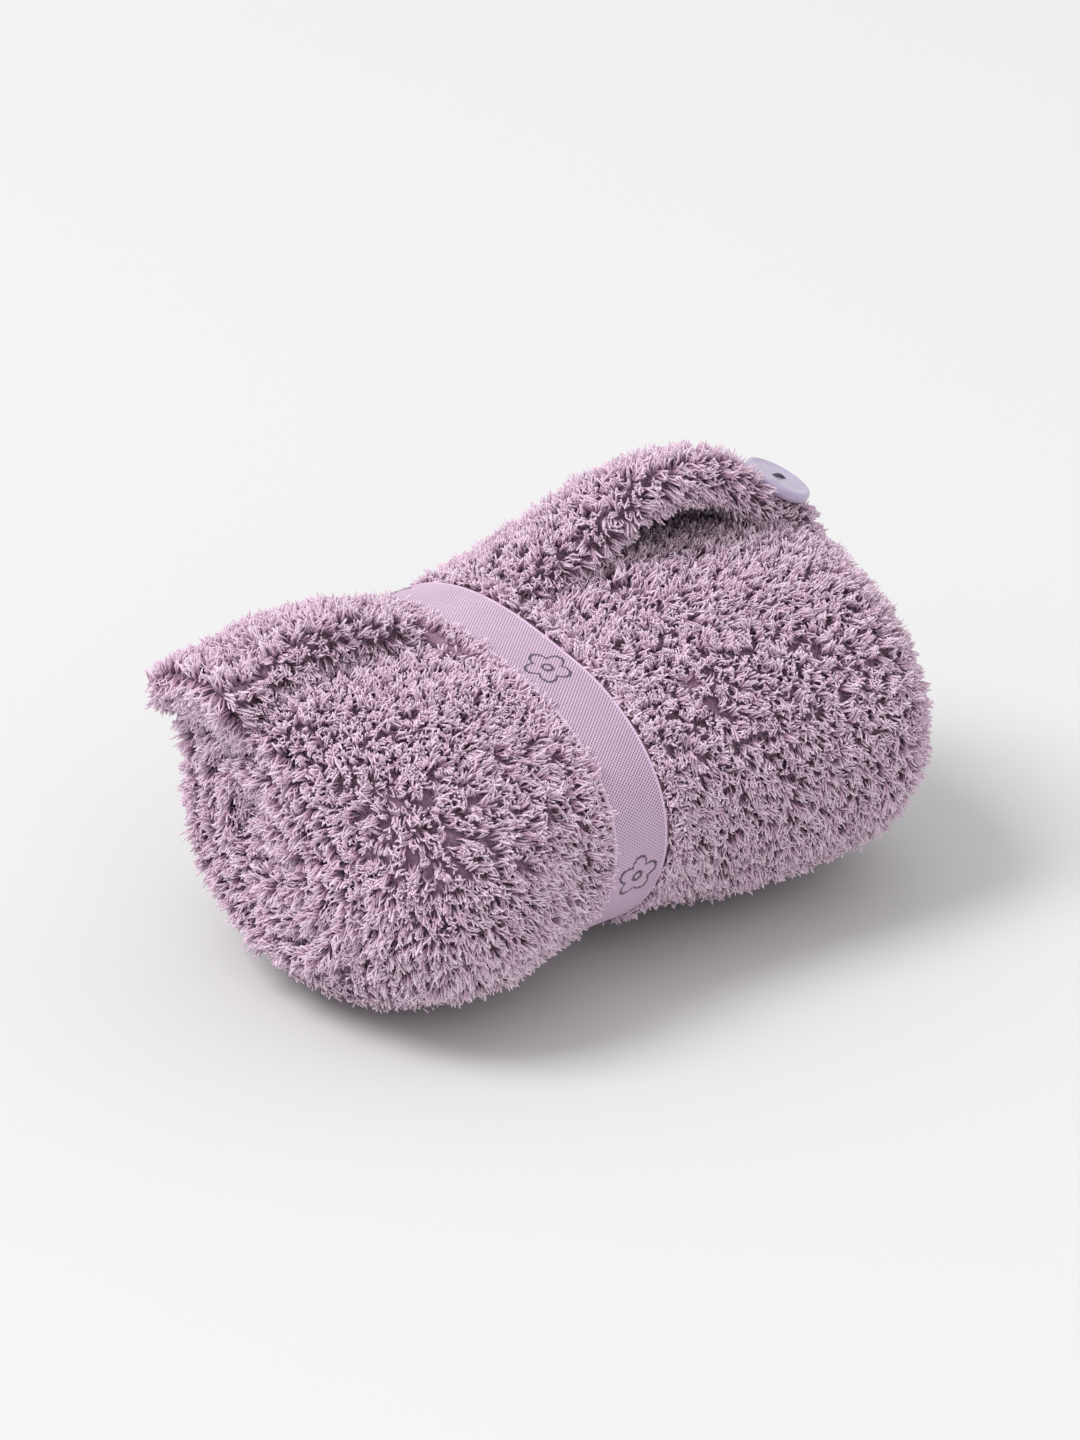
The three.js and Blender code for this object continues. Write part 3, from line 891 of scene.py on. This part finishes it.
besideBand = {"under": 0.0022, "out": 0.0032, "step": 0.0018, "fromHinge": 8, "leftLean": 1.3,
              "rightLean": 0.8, "jitter": 0.4}


# Rows of pile beside the band that lean over its edges.
def furBesideBand(name, side, seed):
    first, last = roll["hinge"] - 360 + besideBand["fromHinge"], roll["hinge"] - besideBand["fromHinge"]
    xs = side * spread(waistHalf - besideBand["under"], waistHalf + besideBand["out"], besideBand["step"])
    xs, angles = np.meshgrid(xs, spread(first, last, pile["turnStep"]), indexing="ij")
    wound = angles + 360
    depth = np.where(wound > flap["pinchAngle"], waistInset(wound) - insetAt(wound), 0) + pile["underBand"]
    points = inRoll(xs, wound, depth)
    insides = inRoll(xs, wound, depth + pile["below"])
    length = mix(pileLength["besideLow"], pileLength["beside"], aboveFloor(points))
    lean = besideBand["leftLean" if side < 0 else "rightLean"]
    return plantFur(name, points, insides, length, 1.0, comb=(-side, 0, 0), seed=seed, lean=lean,
                    jitter=besideBand["jitter"])


furBesideBand("leftPile_beside", -1, seed=61)
furBesideBand("rightPile_beside", 1, seed=62)
print("stage: pile on the roll")


# The strip's long sides are furry too, and show as the wound ends of the roll.
endPile = {"rows": 7, "turnStep": 5.0, "depth": 0.5, "bulge": 0.004, "below": 0.01, "lean": 0.5,
           "coreTurnStep": 8.0, "coreFrom": 0.04, "coreRows": 5, "coreInset": 0.003, "coreJitter": 0.8}


def movedIn(points, side, distance):
    moved = points.copy()
    moved[..., 0] -= side * distance
    return moved


def furOnEnd(name, side, seed):
    shares = np.linspace(0, 1, endPile["rows"])
    turns = spread(roll["hinge"], spiralEnd, endPile["turnStep"])
    share, angles = np.meshgrid(shares, turns, indexing="ij")
    depth = pile["depth"] * endPile["depth"] + share * (roll["strip"] - pile["depth"])
    points = inRoll(np.full(share.shape, side * (endOf(side) - pile["edgeInset"])), angles, depth)
    points[..., 0] += side * (endPile["bulge"] * np.sin(np.pi * share))
    length = mix(pileLength["endEdge"], pileLength["end"], np.sin(np.pi * share))
    return plantFur(name, points, movedIn(points, side, endPile["below"]), length, 1.0, seed=seed,
                    lean=endPile["lean"])


def furOnCoreEnd(name, side, seed):
    turns = spread(spiralEnd - 360, spiralEnd, endPile["coreTurnStep"])
    rows = np.linspace(endPile["coreFrom"], 1, endPile["coreRows"])
    angles, shares = np.meshgrid(turns, rows, indexing="ij")
    points = inCore(np.full(shares.shape, side * (endOf(side) - endPile["coreInset"])), angles, shares)
    return plantFur(name, points, movedIn(points, side, endPile["below"]), pileLength["core"], 1.0, seed=seed,
                    jitter=endPile["coreJitter"])


furOnEnd("leftPile_end", -1, seed=71)
furOnEnd("rightPile_end", 1, seed=72)
furOnCoreEnd("leftPile_core", -1, seed=73)
furOnCoreEnd("rightPile_core", 1, seed=74)
print("stage: pile on the ends")


# Pile on the free end.

flapPileLook = {"start": 0.001, "pastHinge": 2, "fade": 0.02, "underSpacing": 0.0025, "edgeRows": 6,
                "edgeRound": 1.6, "edgeBelow": 6, "rootOut": 0.0004, "endBulge": 0.002, "below": 0.006,
                "belowOuter": 0.3, "belowInner": 0.7}


def furOnFlap(name, side, edge, reach, seed):
    pieces = []
    last = reach - flap["endInset"]
    xs = side * spread(waistHalf + flapPileLook["start"], last, flap["step"])
    angles = spread(edge, roll["hinge"] + flapPileLook["pastHinge"], flap["angleStep"])
    shares = np.linspace(0, 1, flapPileLook["edgeRows"])

    def plant(part, points, insides, length, density, comb, salt, **changes):
        pieces.append(plantFur(f"{name}_{part}", points, insides, length, density,
                               comb=(comb[0] * side, comb[1], comb[2]), seed=seed + salt, **changes))

    # The two faces: the pile is short on the outside under the button, and bare at its thread.
    gridX, gridAngle = np.meshgrid(xs, angles, indexing="ij")
    grown = smoothStep((np.abs(gridX) - waistHalf) / flapPileLook["fade"])
    length = mix(pileLength["flapRoot"], pileLength["flap"], grown)
    points = inFlap(gridX, gridAngle, squeezed(gridX, gridAngle, 0.0))
    insides = inFlap(gridX, gridAngle, squeezed(gridX, gridAngle, flapPileLook["belowOuter"]))
    clear = seatOf(points)[1] if side > 0 else np.ones(points.shape[:2])
    plant("outer", points, insides, length * mix(pileLength["underButton"], 1.0, clear),
          np.where(clear > 0, 1.0, 0.0), (0.4, -0.6, 0), 0)
    points = inFlap(gridX, gridAngle, squeezed(gridX, gridAngle, 1.0))
    insides = inFlap(gridX, gridAngle, squeezed(gridX, gridAngle, flapPileLook["belowInner"]))
    plant("inner", points, insides, length * pileLength["flapUnder"], 1.0, (0.2, -1, -0.2), 1,
          spacing=flapPileLook["underSpacing"])

    # The free edge is rounded.
    gridX, gridShare = np.meshgrid(xs, shares, indexing="ij")
    turn = edge - flapPileLook["edgeRound"] * np.sin(np.pi * gridShare)
    depth = squeezed(gridX, np.full(turn.shape, edge), gridShare)
    points = inFlap(gridX, turn, depth)
    insides = inFlap(gridX, turn + flapPileLook["edgeBelow"], depth)
    grown = smoothStep((np.abs(gridX) - waistHalf) / flapPileLook["fade"])
    length = mix(pileLength["flapRoot"], pileLength["flapEdge"], grown)
    length = length * mix(pileLength["edgeAtButton"], 1.0, seatOf(points)[1])
    plant("edge", points, insides, length, 1.0, (0.4, -0.3, -0.4), 2)

    # The side that leaves the band, and the far end.
    gridShare, gridAngle = np.meshgrid(shares, angles, indexing="ij")
    gridX = np.full(gridShare.shape, side * (waistHalf + flapPileLook["rootOut"]))
    depth = squeezed(gridX, gridAngle, gridShare)
    insides = inFlap(gridX + side * flapPileLook["below"], gridAngle, depth)
    plant("root", inFlap(gridX, gridAngle, depth), insides, pileLength["hinge"], 1.0, (0, -0.5, 0.8), 4)
    gridX = np.full(gridShare.shape, side * last)
    depth = squeezed(gridX, gridAngle, gridShare)
    points = inFlap(gridX, gridAngle, depth)
    points[..., 0] += side * flapPileLook["endBulge"] * np.sin(np.pi * gridShare)
    insides = inFlap(gridX - side * flapPileLook["below"], gridAngle, depth)
    plant("end", points, insides, pileLength["flapEnd"], 1.0, (0.2, 0, -0.8), 3)
    return pieces


earPile = furOnFlap("earPile", -1, flap["earEdgeAngle"], flap["earReach"], seed=81)
flapPile = furOnFlap("flapPile", 1, flap["edgeAngle"], flap["buttonReach"], seed=91)
for shape in tuftShapes:
    bpy.data.objects.remove(shape)
bpy.data.collections.remove(tuftHolder)
print("stage: pile on the free end")

# Elastic band.

band = {"thickness": 0.0011, "fit": 0.0004, "cell": 0.0003, "rows": 61, "innerRows": 4, "samples": 4000,
        "holeEvery": 4, "holeLong": 2, "holeRows": 2, "holeDepth": 0.0004, "holeFill": 0.6,
        "selvedge": 0.0011, "selvedgeRise": 0.00012, "edgeFall": 0.35, "motifs": 5, "motifAngle": 338.0,
        "motifRadius": 0.0078, "motifLine": 0.0011, "motifRise": 0.00016, "petals": 5, "petalRoot": 0.62,
        "petalReach": 0.38, "heart": 0.22, "lapAngle": 128.0, "lapLength": 0.022, "lapGap": 0.00015,
        "paler": 1.08, "driftScale": 60.0, "driftDetail": 3.0, "knitPitch": 2600, "knitRelief": 0.00008}
bandWidth = bandHigh.x - bandLow.x


def waistPoint(angle, offset):
    turn = np.radians(angle)
    inset = waistInset(angle)
    y = (halfDepth - inset) * np.sin(turn) * roll["waistDepth"]
    z = (halfHeight - inset) * np.cos(turn) * roll["waistHeight"]
    size = np.hypot(y, z)
    grow = (size + offset) / size
    return axisY + y * grow, axisZ + z * grow


# Places spaced evenly along the waist between two angles, with the distance of each from the first.
def alongWaist(fromAngle, toAngle, count, offset):
    angles = np.linspace(fromAngle, toAngle, band["samples"])
    y, z = waistPoint(angles, offset)
    run = np.concatenate([[0], np.cumsum(np.hypot(np.diff(y), np.diff(z)))])
    even = np.linspace(0, run[-1], count)
    return np.interp(even, run, angles), even


# A flower in outline, woven in dark yarn: 1 on its lines and 0 elsewhere.
def motifAt(along, across, centres, total):
    inked = np.zeros(np.broadcast(along, across).shape)
    for centre in centres:
        u = (along - centre + total / 2) % total - total / 2
        size = np.hypot(u, across)
        turn = np.arctan2(across, u)
        petal = band["petalRoot"] + band["petalReach"] * np.abs(np.cos(turn * band["petals"] / 2))
        edge = band["motifRadius"] * petal
        heart = band["heart"] * band["motifRadius"]
        line = (np.abs(size - edge) < band["motifLine"] / 2) | (np.abs(size - heart) < band["motifLine"] / 2)
        inked = np.where(line, 1.0, inked)
    return inked


# Which cells of the weave are holes, from each cell's column and row.
def holesAt(column, row, inside):
    step = (column + band["holeEvery"] // 2 * (row // band["holeRows"])) % band["holeEvery"]
    return (step < band["holeLong"]) & (row % band["holeRows"] == 0) & inside


def makeBandMesh(name, fromAngle, toAngle, low, closed):
    middle = band["fit"] + band["thickness"]
    _, run = alongWaist(fromAngle, toAngle, band["samples"], middle)
    count = int(round(run[-1] / band["cell"] / band["holeEvery"])) * band["holeEvery"]
    angles, places = alongWaist(fromAngle, toAngle, count + 1, middle)
    if closed:
        angles, places = angles[:-1], places[:-1]
    rows = band["rows"]
    across = np.linspace(-bandWidth / 2, bandWidth / 2, rows)
    alongGrid, acrossGrid = np.meshgrid(places, across, indexing="ij")
    column, row = np.meshgrid(np.arange(len(places)), np.arange(rows), indexing="ij")
    inside = np.abs(acrossGrid) < bandWidth / 2 - band["selvedge"]
    hole = holesAt(column, row, inside)
    firstCentre = np.interp(band["motifAngle"], angles, places)
    centres = firstCentre + run[-1] / band["motifs"] * np.arange(band["motifs"])
    motif = motifAt(alongGrid, acrossGrid, centres, run[-1]) if closed else np.zeros(alongGrid.shape)
    height = np.where(inside, 0.0, band["selvedgeRise"]) + motif * band["motifRise"]
    height = np.where(hole, -band["holeDepth"] * (1 - band["holeFill"] * motif), height)
    height[:, 0] = height[:, -1] = -band["thickness"] * band["edgeFall"]
    angleGrid = np.broadcast_to(angles[:, None], alongGrid.shape)
    outerY, outerZ = waistPoint(angleGrid, low + band["thickness"] + height)
    outer = np.stack([bandX + acrossGrid, outerY, outerZ], -1)
    innerAcross = np.linspace(bandWidth / 2, -bandWidth / 2, band["innerRows"])
    innerX = np.broadcast_to(innerAcross, (len(places), band["innerRows"]))
    innerY, innerZ = waistPoint(np.broadcast_to(angles[:, None], innerX.shape), np.full(innerX.shape, low))
    inner = np.stack([bandX + innerX, innerY, innerZ], -1)
    points = np.concatenate([outer, inner], axis=1)
    wide = points.shape[1]
    faces = gridFaces(len(places), wide, closed=True)
    if closed:
        last = (len(places) - 1) * wide
        faces += [(last + j, last + (j + 1) % wide, (j + 1) % wide, j) for j in range(wide)]
    else:
        faces += [tuple(range(wide)), tuple((len(places) - 1) * wide + j for j in reversed(range(wide)))]
    item = newMesh(name, points, faces, bandMaterial)
    for attribute, values in (("hole", hole), ("motif", motif)):
        marked = np.zeros(points.shape[:2], np.float32)
        marked[:, :rows] = values
        setValues(item.data, attribute, marked.ravel())
    return tidyMesh(item, mergeWithin=0)


def makeBandMaterial():
    material, tree, shader = newMaterial("wovenElastic", roughness=0.72, sheen=0.25, specular=0.25)
    hole = addNode(tree, "ShaderNodeAttribute")
    hole.attribute_name = "hole"
    motif = addNode(tree, "ShaderNodeAttribute")
    motif.attribute_name = "motif"
    where = tree.nodes.new("ShaderNodeTexCoord")
    drift = addNode(tree, "ShaderNodeTexNoise", Vector=where.outputs["Object"], Scale=band["driftScale"],
                    Detail=band["driftDetail"])
    paler = tuple(min(1.0, band["paler"] * value) for value in colours["band"])
    yarn = rampNode(tree, drift.outputs["Fac"], [(0.35, colours["band"]), (0.65, paler)])
    inked = mixColours(tree, motif.outputs["Fac"], yarn, colours["motif"])
    # The pinholes are coloured near-black: painted shade in the holes.
    holesShaded = mixColours(tree, hole.outputs["Fac"], inked, colours["holeShade"])
    tree.links.new(holesShaded, shader.inputs["Base Color"])
    addBump(tree, shader, useKnit(tree, band["knitPitch"]), band["knitRelief"])
    return material


bandMaterial = makeBandMaterial()
elasticBand = makeBandMesh("wovenBand", roll["hinge"], roll["hinge"] + 360, band["fit"], True)
lapTurn = math.degrees(band["lapLength"] / (roll["waistDepth"] * rollDepth / 2)) / 2
bandLap = makeBandMesh("bandLap", band["lapAngle"] - lapTurn, band["lapAngle"] + lapTurn,
                       band["fit"] + band["thickness"] + band["lapGap"], False)


# Stitches: loops of thread set along a path.

stitch = {"tackPitch": 0.00055, "tackLength": 0.0031, "tackThread": 0.00022, "tackPoints": 20,
          "hemPitch": 0.0016, "hemWidth": 0.0040, "hemThread": 0.00045, "hemSlant": 0.5, "hemStart": 2,
          "hemStep": 4.0, "hemOut": 0.0008, "beadSides": 6}


def makeStitchTree():
    tree = bpy.data.node_groups.new("stitchRow", "GeometryNodeTree")
    face = tree.interface
    face.new_socket("Geometry", in_out="INPUT", socket_type="NodeSocketGeometry")
    for name in ("Pitch", "Length", "Thread", "Slant"):
        face.new_socket(name, in_out="INPUT", socket_type="NodeSocketFloat")
    face.new_socket("Material", in_out="INPUT", socket_type="NodeSocketMaterial")
    face.new_socket("Geometry", in_out="OUTPUT", socket_type="NodeSocketGeometry")
    entry = tree.nodes.new("NodeGroupInput").outputs
    leave = tree.nodes.new("NodeGroupOutput")
    path = tree.nodes.new("GeometryNodeMeshToCurve")
    tree.links.new(entry["Geometry"], path.inputs["Mesh"])
    even = tree.nodes.new("GeometryNodeResampleCurve")
    even.mode = "LENGTH"
    tree.links.new(path.outputs[0], even.inputs["Curve"])
    tree.links.new(entry["Pitch"], even.inputs["Length"])
    tangent = tree.nodes.new("GeometryNodeInputTangent")
    turn = tree.nodes.new("FunctionNodeAlignRotationToVector")
    turn.axis = "X"
    tree.links.new(tangent.outputs[0], turn.inputs["Vector"])
    slant = tree.nodes.new("FunctionNodeAxisAngleToRotation")
    slant.inputs["Axis"].default_value = (1, 0, 0)
    tree.links.new(entry["Slant"], slant.inputs["Angle"])
    both = tree.nodes.new("FunctionNodeRotateRotation")
    both.rotation_space = "LOCAL"
    tree.links.new(turn.outputs[0], both.inputs["Rotation"])
    tree.links.new(slant.outputs[0], both.inputs["Rotate By"])
    bead = tree.nodes.new("GeometryNodeMeshUVSphere")
    bead.inputs["Segments"].default_value = stitch["beadSides"]
    bead.inputs["Rings"].default_value = stitch["beadSides"]
    bead.inputs["Radius"].default_value = 1.0
    size = tree.nodes.new("ShaderNodeCombineXYZ")
    for axis, name in (("X", "Thread"), ("Y", "Length"), ("Z", "Thread")):
        tree.links.new(entry[name], size.inputs[axis])
    plant = tree.nodes.new("GeometryNodeInstanceOnPoints")
    tree.links.new(even.outputs[0], plant.inputs["Points"])
    tree.links.new(bead.outputs["Mesh"], plant.inputs["Instance"])
    tree.links.new(both.outputs[0], plant.inputs["Rotation"])
    tree.links.new(size.outputs[0], plant.inputs["Scale"])
    real = tree.nodes.new("GeometryNodeRealizeInstances")
    tree.links.new(plant.outputs[0], real.inputs["Geometry"])
    paint = tree.nodes.new("GeometryNodeSetMaterial")
    tree.links.new(real.outputs[0], paint.inputs["Geometry"])
    tree.links.new(entry["Material"], paint.inputs["Material"])
    tree.links.new(paint.outputs[0], leave.inputs[0])
    return tree


stitchTree = makeStitchTree()


def stitchAlong(name, points, pitch, length, thread, slant, material):
    mesh = bpy.data.meshes.new(name)
    mesh.from_pydata([tuple(point) for point in points], [(i, i + 1) for i in range(len(points) - 1)], [])
    path = addObject(name, mesh)
    modifier = path.modifiers.new("stitches", "NODES")
    modifier.node_group = stitchTree
    for key, value in (("Pitch", pitch), ("Length", length), ("Thread", thread), ("Slant", slant),
                       ("Material", material)):
        setInput(modifier, stitchTree, key, value)
    made = finishedMesh(path)
    bpy.data.objects.remove(path)
    made.shade_smooth()
    return addObject(name, made)


def makeBarTack():
    low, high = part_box("band_bar_tack")
    middle = (low + high) / 2
    points = [(x, middle.y, middle.z) for x in np.linspace(low.x, high.x, stitch["tackPoints"])]
    lean = math.atan2(high.z - low.z, high.y - low.y)
    return stitchAlong("barTack", points, stitch["tackPitch"], stitch["tackLength"] / 2, stitch["tackThread"],
                       lean, threadMaterial)


def makeHem(name, side):
    angles = spread(roll["hinge"] + stitch["hemStart"], spiralEnd, stitch["hemStep"])
    depth = np.full(len(angles), roll["strip"] / 2)
    points = inRoll(np.full(len(angles), side * endOf(side)), angles, depth)
    points[:, 0] += side * stitch["hemOut"]
    return stitchAlong(name, points, stitch["hemPitch"], stitch["hemWidth"] / 2, stitch["hemThread"],
                       stitch["hemSlant"], hemMaterial)


barTack = makeBarTack()
leftHem = makeHem("leftHem", -1)
rightHem = makeHem("rightHem", 1)
print("stage: band and stitches")

# Button.

button = {"radius": 0.0125, "bottom": 0.0032, "thickness": 0.0042, "edge": 0.0015, "edgeSteps": 12,
          "dish": 0.0005, "rim": 0.0026, "rimSteps": 8, "sides": 96, "crease": 50,
          "hole": 0.0011, "holeSpacing": 0.005, "holeSides": 32, "drill": 0.02, "footGap": 0.0003,
          "coat": 0.5, "coatRoughness": 0.12, "cloudScale": 90.0, "cloudSwirl": 1.4, "grainScale": 900.0,
          "smoothest": 0.16, "roughest": 0.3}
buttonThread = {"radius": 0.00034, "sides": 10, "strands": 3, "step": 0.00052, "points": 24, "over": 1.2,
                "tuckedIn": 0.0004, "bow": 0.08, "arch": 0.25, "rise": 0.0002, "shank": 0.0014,
                "shankSides": 20, "windings": 7, "windingPoints": 16, "windingSides": 8}
seatTurn = Vector((0, 0, 1)).rotation_difference(buttonAxis).to_matrix().to_4x4()
seatTurn.translation = shankFoot - buttonAxis * button["footGap"]


def makeButtonMaterial():
    material, tree, shader = newMaterial("pearlyButton", roughness=0.22, specular=0.5)
    shader.inputs["Coat Weight"].default_value = button["coat"]
    shader.inputs["Coat Roughness"].default_value = button["coatRoughness"]
    where = tree.nodes.new("ShaderNodeTexCoord")
    cloud = addNode(tree, "ShaderNodeTexNoise", Vector=where.outputs["Object"], Scale=button["cloudScale"],
                    Detail=4.0, Distortion=button["cloudSwirl"])
    tint = rampNode(tree, cloud.outputs["Fac"], [(0.3, colours["button"]), (0.7, colours["buttonPale"])])
    tree.links.new(tint, shader.inputs["Base Color"])
    fine = addNode(tree, "ShaderNodeTexNoise", Vector=where.outputs["Object"], Scale=button["grainScale"],
                   Detail=2.0)
    rough = addNode(tree, "ShaderNodeMapRange", Value=fine.outputs["Fac"])
    rough.inputs["To Min"].default_value = button["smoothest"]
    rough.inputs["To Max"].default_value = button["roughest"]
    tree.links.new(rough.outputs["Result"], shader.inputs["Roughness"])
    return material


# The button's profile, from the middle of its underside round the soft rim to the dished face.
def buttonProfile():
    radius, edge = button["radius"], button["edge"]
    low, high = button["bottom"], button["bottom"] + button["thickness"]
    profile = [(0.0, low)]
    for step in range(button["edgeSteps"] + 1):
        turn = math.radians(-90 + 180 / button["edgeSteps"] * step)
        middle = low + edge if step <= button["edgeSteps"] // 2 else high - edge
        profile.append((radius - edge + edge * math.cos(turn), middle + edge * math.sin(turn)))
    inner = radius - edge - button["rim"]
    for step in range(1, button["rimSteps"] + 1):
        share = step / button["rimSteps"]
        fall = button["dish"] * share * share * (3 - 2 * share)
        profile.append((radius - edge - button["rim"] * share, high - fall))
    profile.append((inner / 2, high - button["dish"]))
    profile.append((0.0, high - button["dish"]))
    return profile


def latheMesh(name, profile, sides, material):
    work = bmesh.new()
    rings = []
    turns = [2 * math.pi * k / sides for k in range(sides)]
    for radius, height in profile:
        if radius == 0:
            rings.append([work.verts.new((0, 0, height))] * sides)
            continue
        ring = [(radius * math.cos(turn), radius * math.sin(turn), height) for turn in turns]
        rings.append([work.verts.new(corner) for corner in ring])
    for low, high in zip(rings, rings[1:]):
        for k in range(sides):
            corners = [low[k], low[(k + 1) % sides], high[(k + 1) % sides], high[k]]
            work.faces.new(list(dict.fromkeys(corners)))
    bmesh.ops.recalc_face_normals(work, faces=work.faces)
    mesh = bpy.data.meshes.new(name)
    work.to_mesh(mesh)
    work.free()
    mesh.materials.append(material)
    return addObject(name, mesh)


def cutHoles(item):
    width, length = button["hole"], button["drill"]
    drill = [(0.0, 0.0), (width, 0.0), (width, length), (0.0, length)]
    for side in (-1, 1):
        cutter = latheMesh("hole", drill, button["holeSides"], item.data.materials[0])
        for vertex in cutter.data.vertices:
            vertex.co.x += side * button["holeSpacing"] / 2
        modifier = item.modifiers.new("hole", "BOOLEAN")
        modifier.operation = "DIFFERENCE"
        modifier.solver = "EXACT"
        modifier.object = cutter
        cut = finishedMesh(item)
        item.modifiers.clear()
        item.data = cut
        bpy.data.objects.remove(cutter)
    item.data.shade_smooth()
    item.data.set_sharp_from_angle(angle=math.radians(button["crease"]))
    return item


# A closed tube along a list of points.
def tubeMesh(name, paths, radius, sides, material):
    points, faces = [], []
    for path in paths:
        path = [Vector(point) for point in path]
        first = len(points)
        side = (path[1] - path[0]).normalized().orthogonal().normalized()
        for i, centre in enumerate(path):
            ahead = (path[min(i + 1, len(path) - 1)] - path[max(i - 1, 0)]).normalized()
            side = (side - ahead * side.dot(ahead)).normalized()
            other = ahead.cross(side)
            for k in range(sides):
                turn = 2 * math.pi * k / sides
                points.append(centre + radius * (math.cos(turn) * side + math.sin(turn) * other))
        for i in range(len(path) - 1):
            for k in range(sides):
                low = first + i * sides
                j = (k + 1) % sides
                faces.append((low + k, low + j, low + sides + j, low + sides + k))
        faces.append(tuple(first + k for k in reversed(range(sides))))
        last = first + (len(path) - 1) * sides
        faces.append(tuple(last + k for k in range(sides)))
    return newMesh(name, np.array([tuple(point) for point in points]), faces, material)


def makeThread():
    thread = buttonThread["radius"]
    top = button["bottom"] + button["thickness"] - button["dish"] + thread * buttonThread["over"]
    low = button["bottom"] + buttonThread["tuckedIn"]
    reach = button["holeSpacing"] / 2
    paths = []
    for strand in range(buttonThread["strands"]):
        y = (strand - (buttonThread["strands"] - 1) / 2) * buttonThread["step"]
        path = []
        for step in range(buttonThread["points"] + 1):
            turn = math.pi * step / buttonThread["points"]
            over = math.sin(turn)
            x = -reach * math.cos(turn) * (1.0 + buttonThread["bow"] * over)
            sunk = (top - low) * (1 - over ** buttonThread["arch"])
            path.append((x, y, top - sunk + buttonThread["rise"] * over))
        paths.append(path)
    return tubeMesh("buttonStitch", paths, thread, buttonThread["sides"], threadMaterial)


def makeShank():
    thread, foot = buttonThread["radius"], button["footGap"]
    height = button["bottom"] - 2 * foot
    core = [(0, 0, foot + height * share) for share in (0, 0.5, 1)]
    item = tubeMesh("shankCore", [core], buttonThread["shank"], buttonThread["shankSides"], threadMaterial)
    steps = buttonThread["windings"] * buttonThread["windingPoints"]
    radius = buttonThread["shank"] + thread * 0.5
    coil = []
    for step in range(steps + 1):
        turn = 2 * math.pi * buttonThread["windings"] * step / steps
        rise = foot + thread + (height - 2 * thread) * step / steps
        coil.append((radius * math.cos(turn), radius * math.sin(turn), rise))
    return item, tubeMesh("shankWinding", [coil], thread, buttonThread["windingSides"], threadMaterial)


buttonMaterial = makeButtonMaterial()
buttonDisc = cutHoles(latheMesh("sewnButton", buttonProfile(), button["sides"], buttonMaterial))
buttonStitch = makeThread()
shankCore, shankWinding = makeShank()
for piece in (buttonDisc, buttonStitch, shankCore, shankWinding):
    piece.data.transform(seatTurn)
print("stage: button")

# What moves with what.

for piece in (wrapCloth, coreFold, pinnedEdge, leftHem, rightHem):
    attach(piece, "wrap")
for piece in (elasticBand, bandLap, barTack):
    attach(piece, "band")
for piece in (buttonDisc, buttonStitch):
    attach(piece, "button")
for piece in (shankCore, shankWinding):
    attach(piece, "shank")
rollPile = [piece for piece in furPieces if piece not in earPile and piece not in flapPile]
rootPile = [piece for piece in furPieces if piece.name.endswith("_root")]

# The pile on the wound ends moves with the wrap; the other pile pieces keep their place.
for piece in [*rollPile, *rootPile]:
    if piece.name.endswith(("_end", "_core")):
        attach(piece, "wrap")
        continue
    side = -1 if piece.name.startswith(("left", "ear")) else 1
    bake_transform(piece)


def bendFlap(pieces):
    for piece in pieces:
        if piece in rootPile:
            continue
        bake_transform(piece)


bendFlap([earCloth, *earPile])
bendFlap([flapCloth, *flapPile])


def arcLength(fromAngle, toAngle, depth):
    y, z = sectionPoint(np.linspace(fromAngle, toAngle, roll["arcSamples"]), depth)
    return float(np.hypot(np.diff(y), np.diff(z)).sum())


middle = roll["strip"] / 2
strip = (leftLength + rightLength - 2 * detail["endInset"], arcLength(roll["hinge"], spiralEnd, middle))
earFlat = (flap["earReach"] - waistHalf, arcLength(flap["earEdgeAngle"], roll["hinge"], middle))
flapFlat = (flap["buttonReach"] - waistHalf, arcLength(flap["edgeAngle"], roll["hinge"], middle))
bandFlat = (bandWidth, float(alongWaist(roll["hinge"], roll["hinge"] + 360, 2, band["fit"])[1][-1]))
print("flat sizes", strip, earFlat, flapFlat, bandFlat)

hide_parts("outer_panel", "inner_panel")
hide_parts("left_side_hem")
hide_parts("right_side_hem")
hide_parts("elastic_band")
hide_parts("band_overlap")
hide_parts("band_bar_tack")
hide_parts("button")
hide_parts("button_thread")
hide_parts("thread_shank")
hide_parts("core_fold")
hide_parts("ear_outer", "ear_inner", "ear_hem")
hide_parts("button_flap_outer", "button_flap_inner", "button_flap_hem")
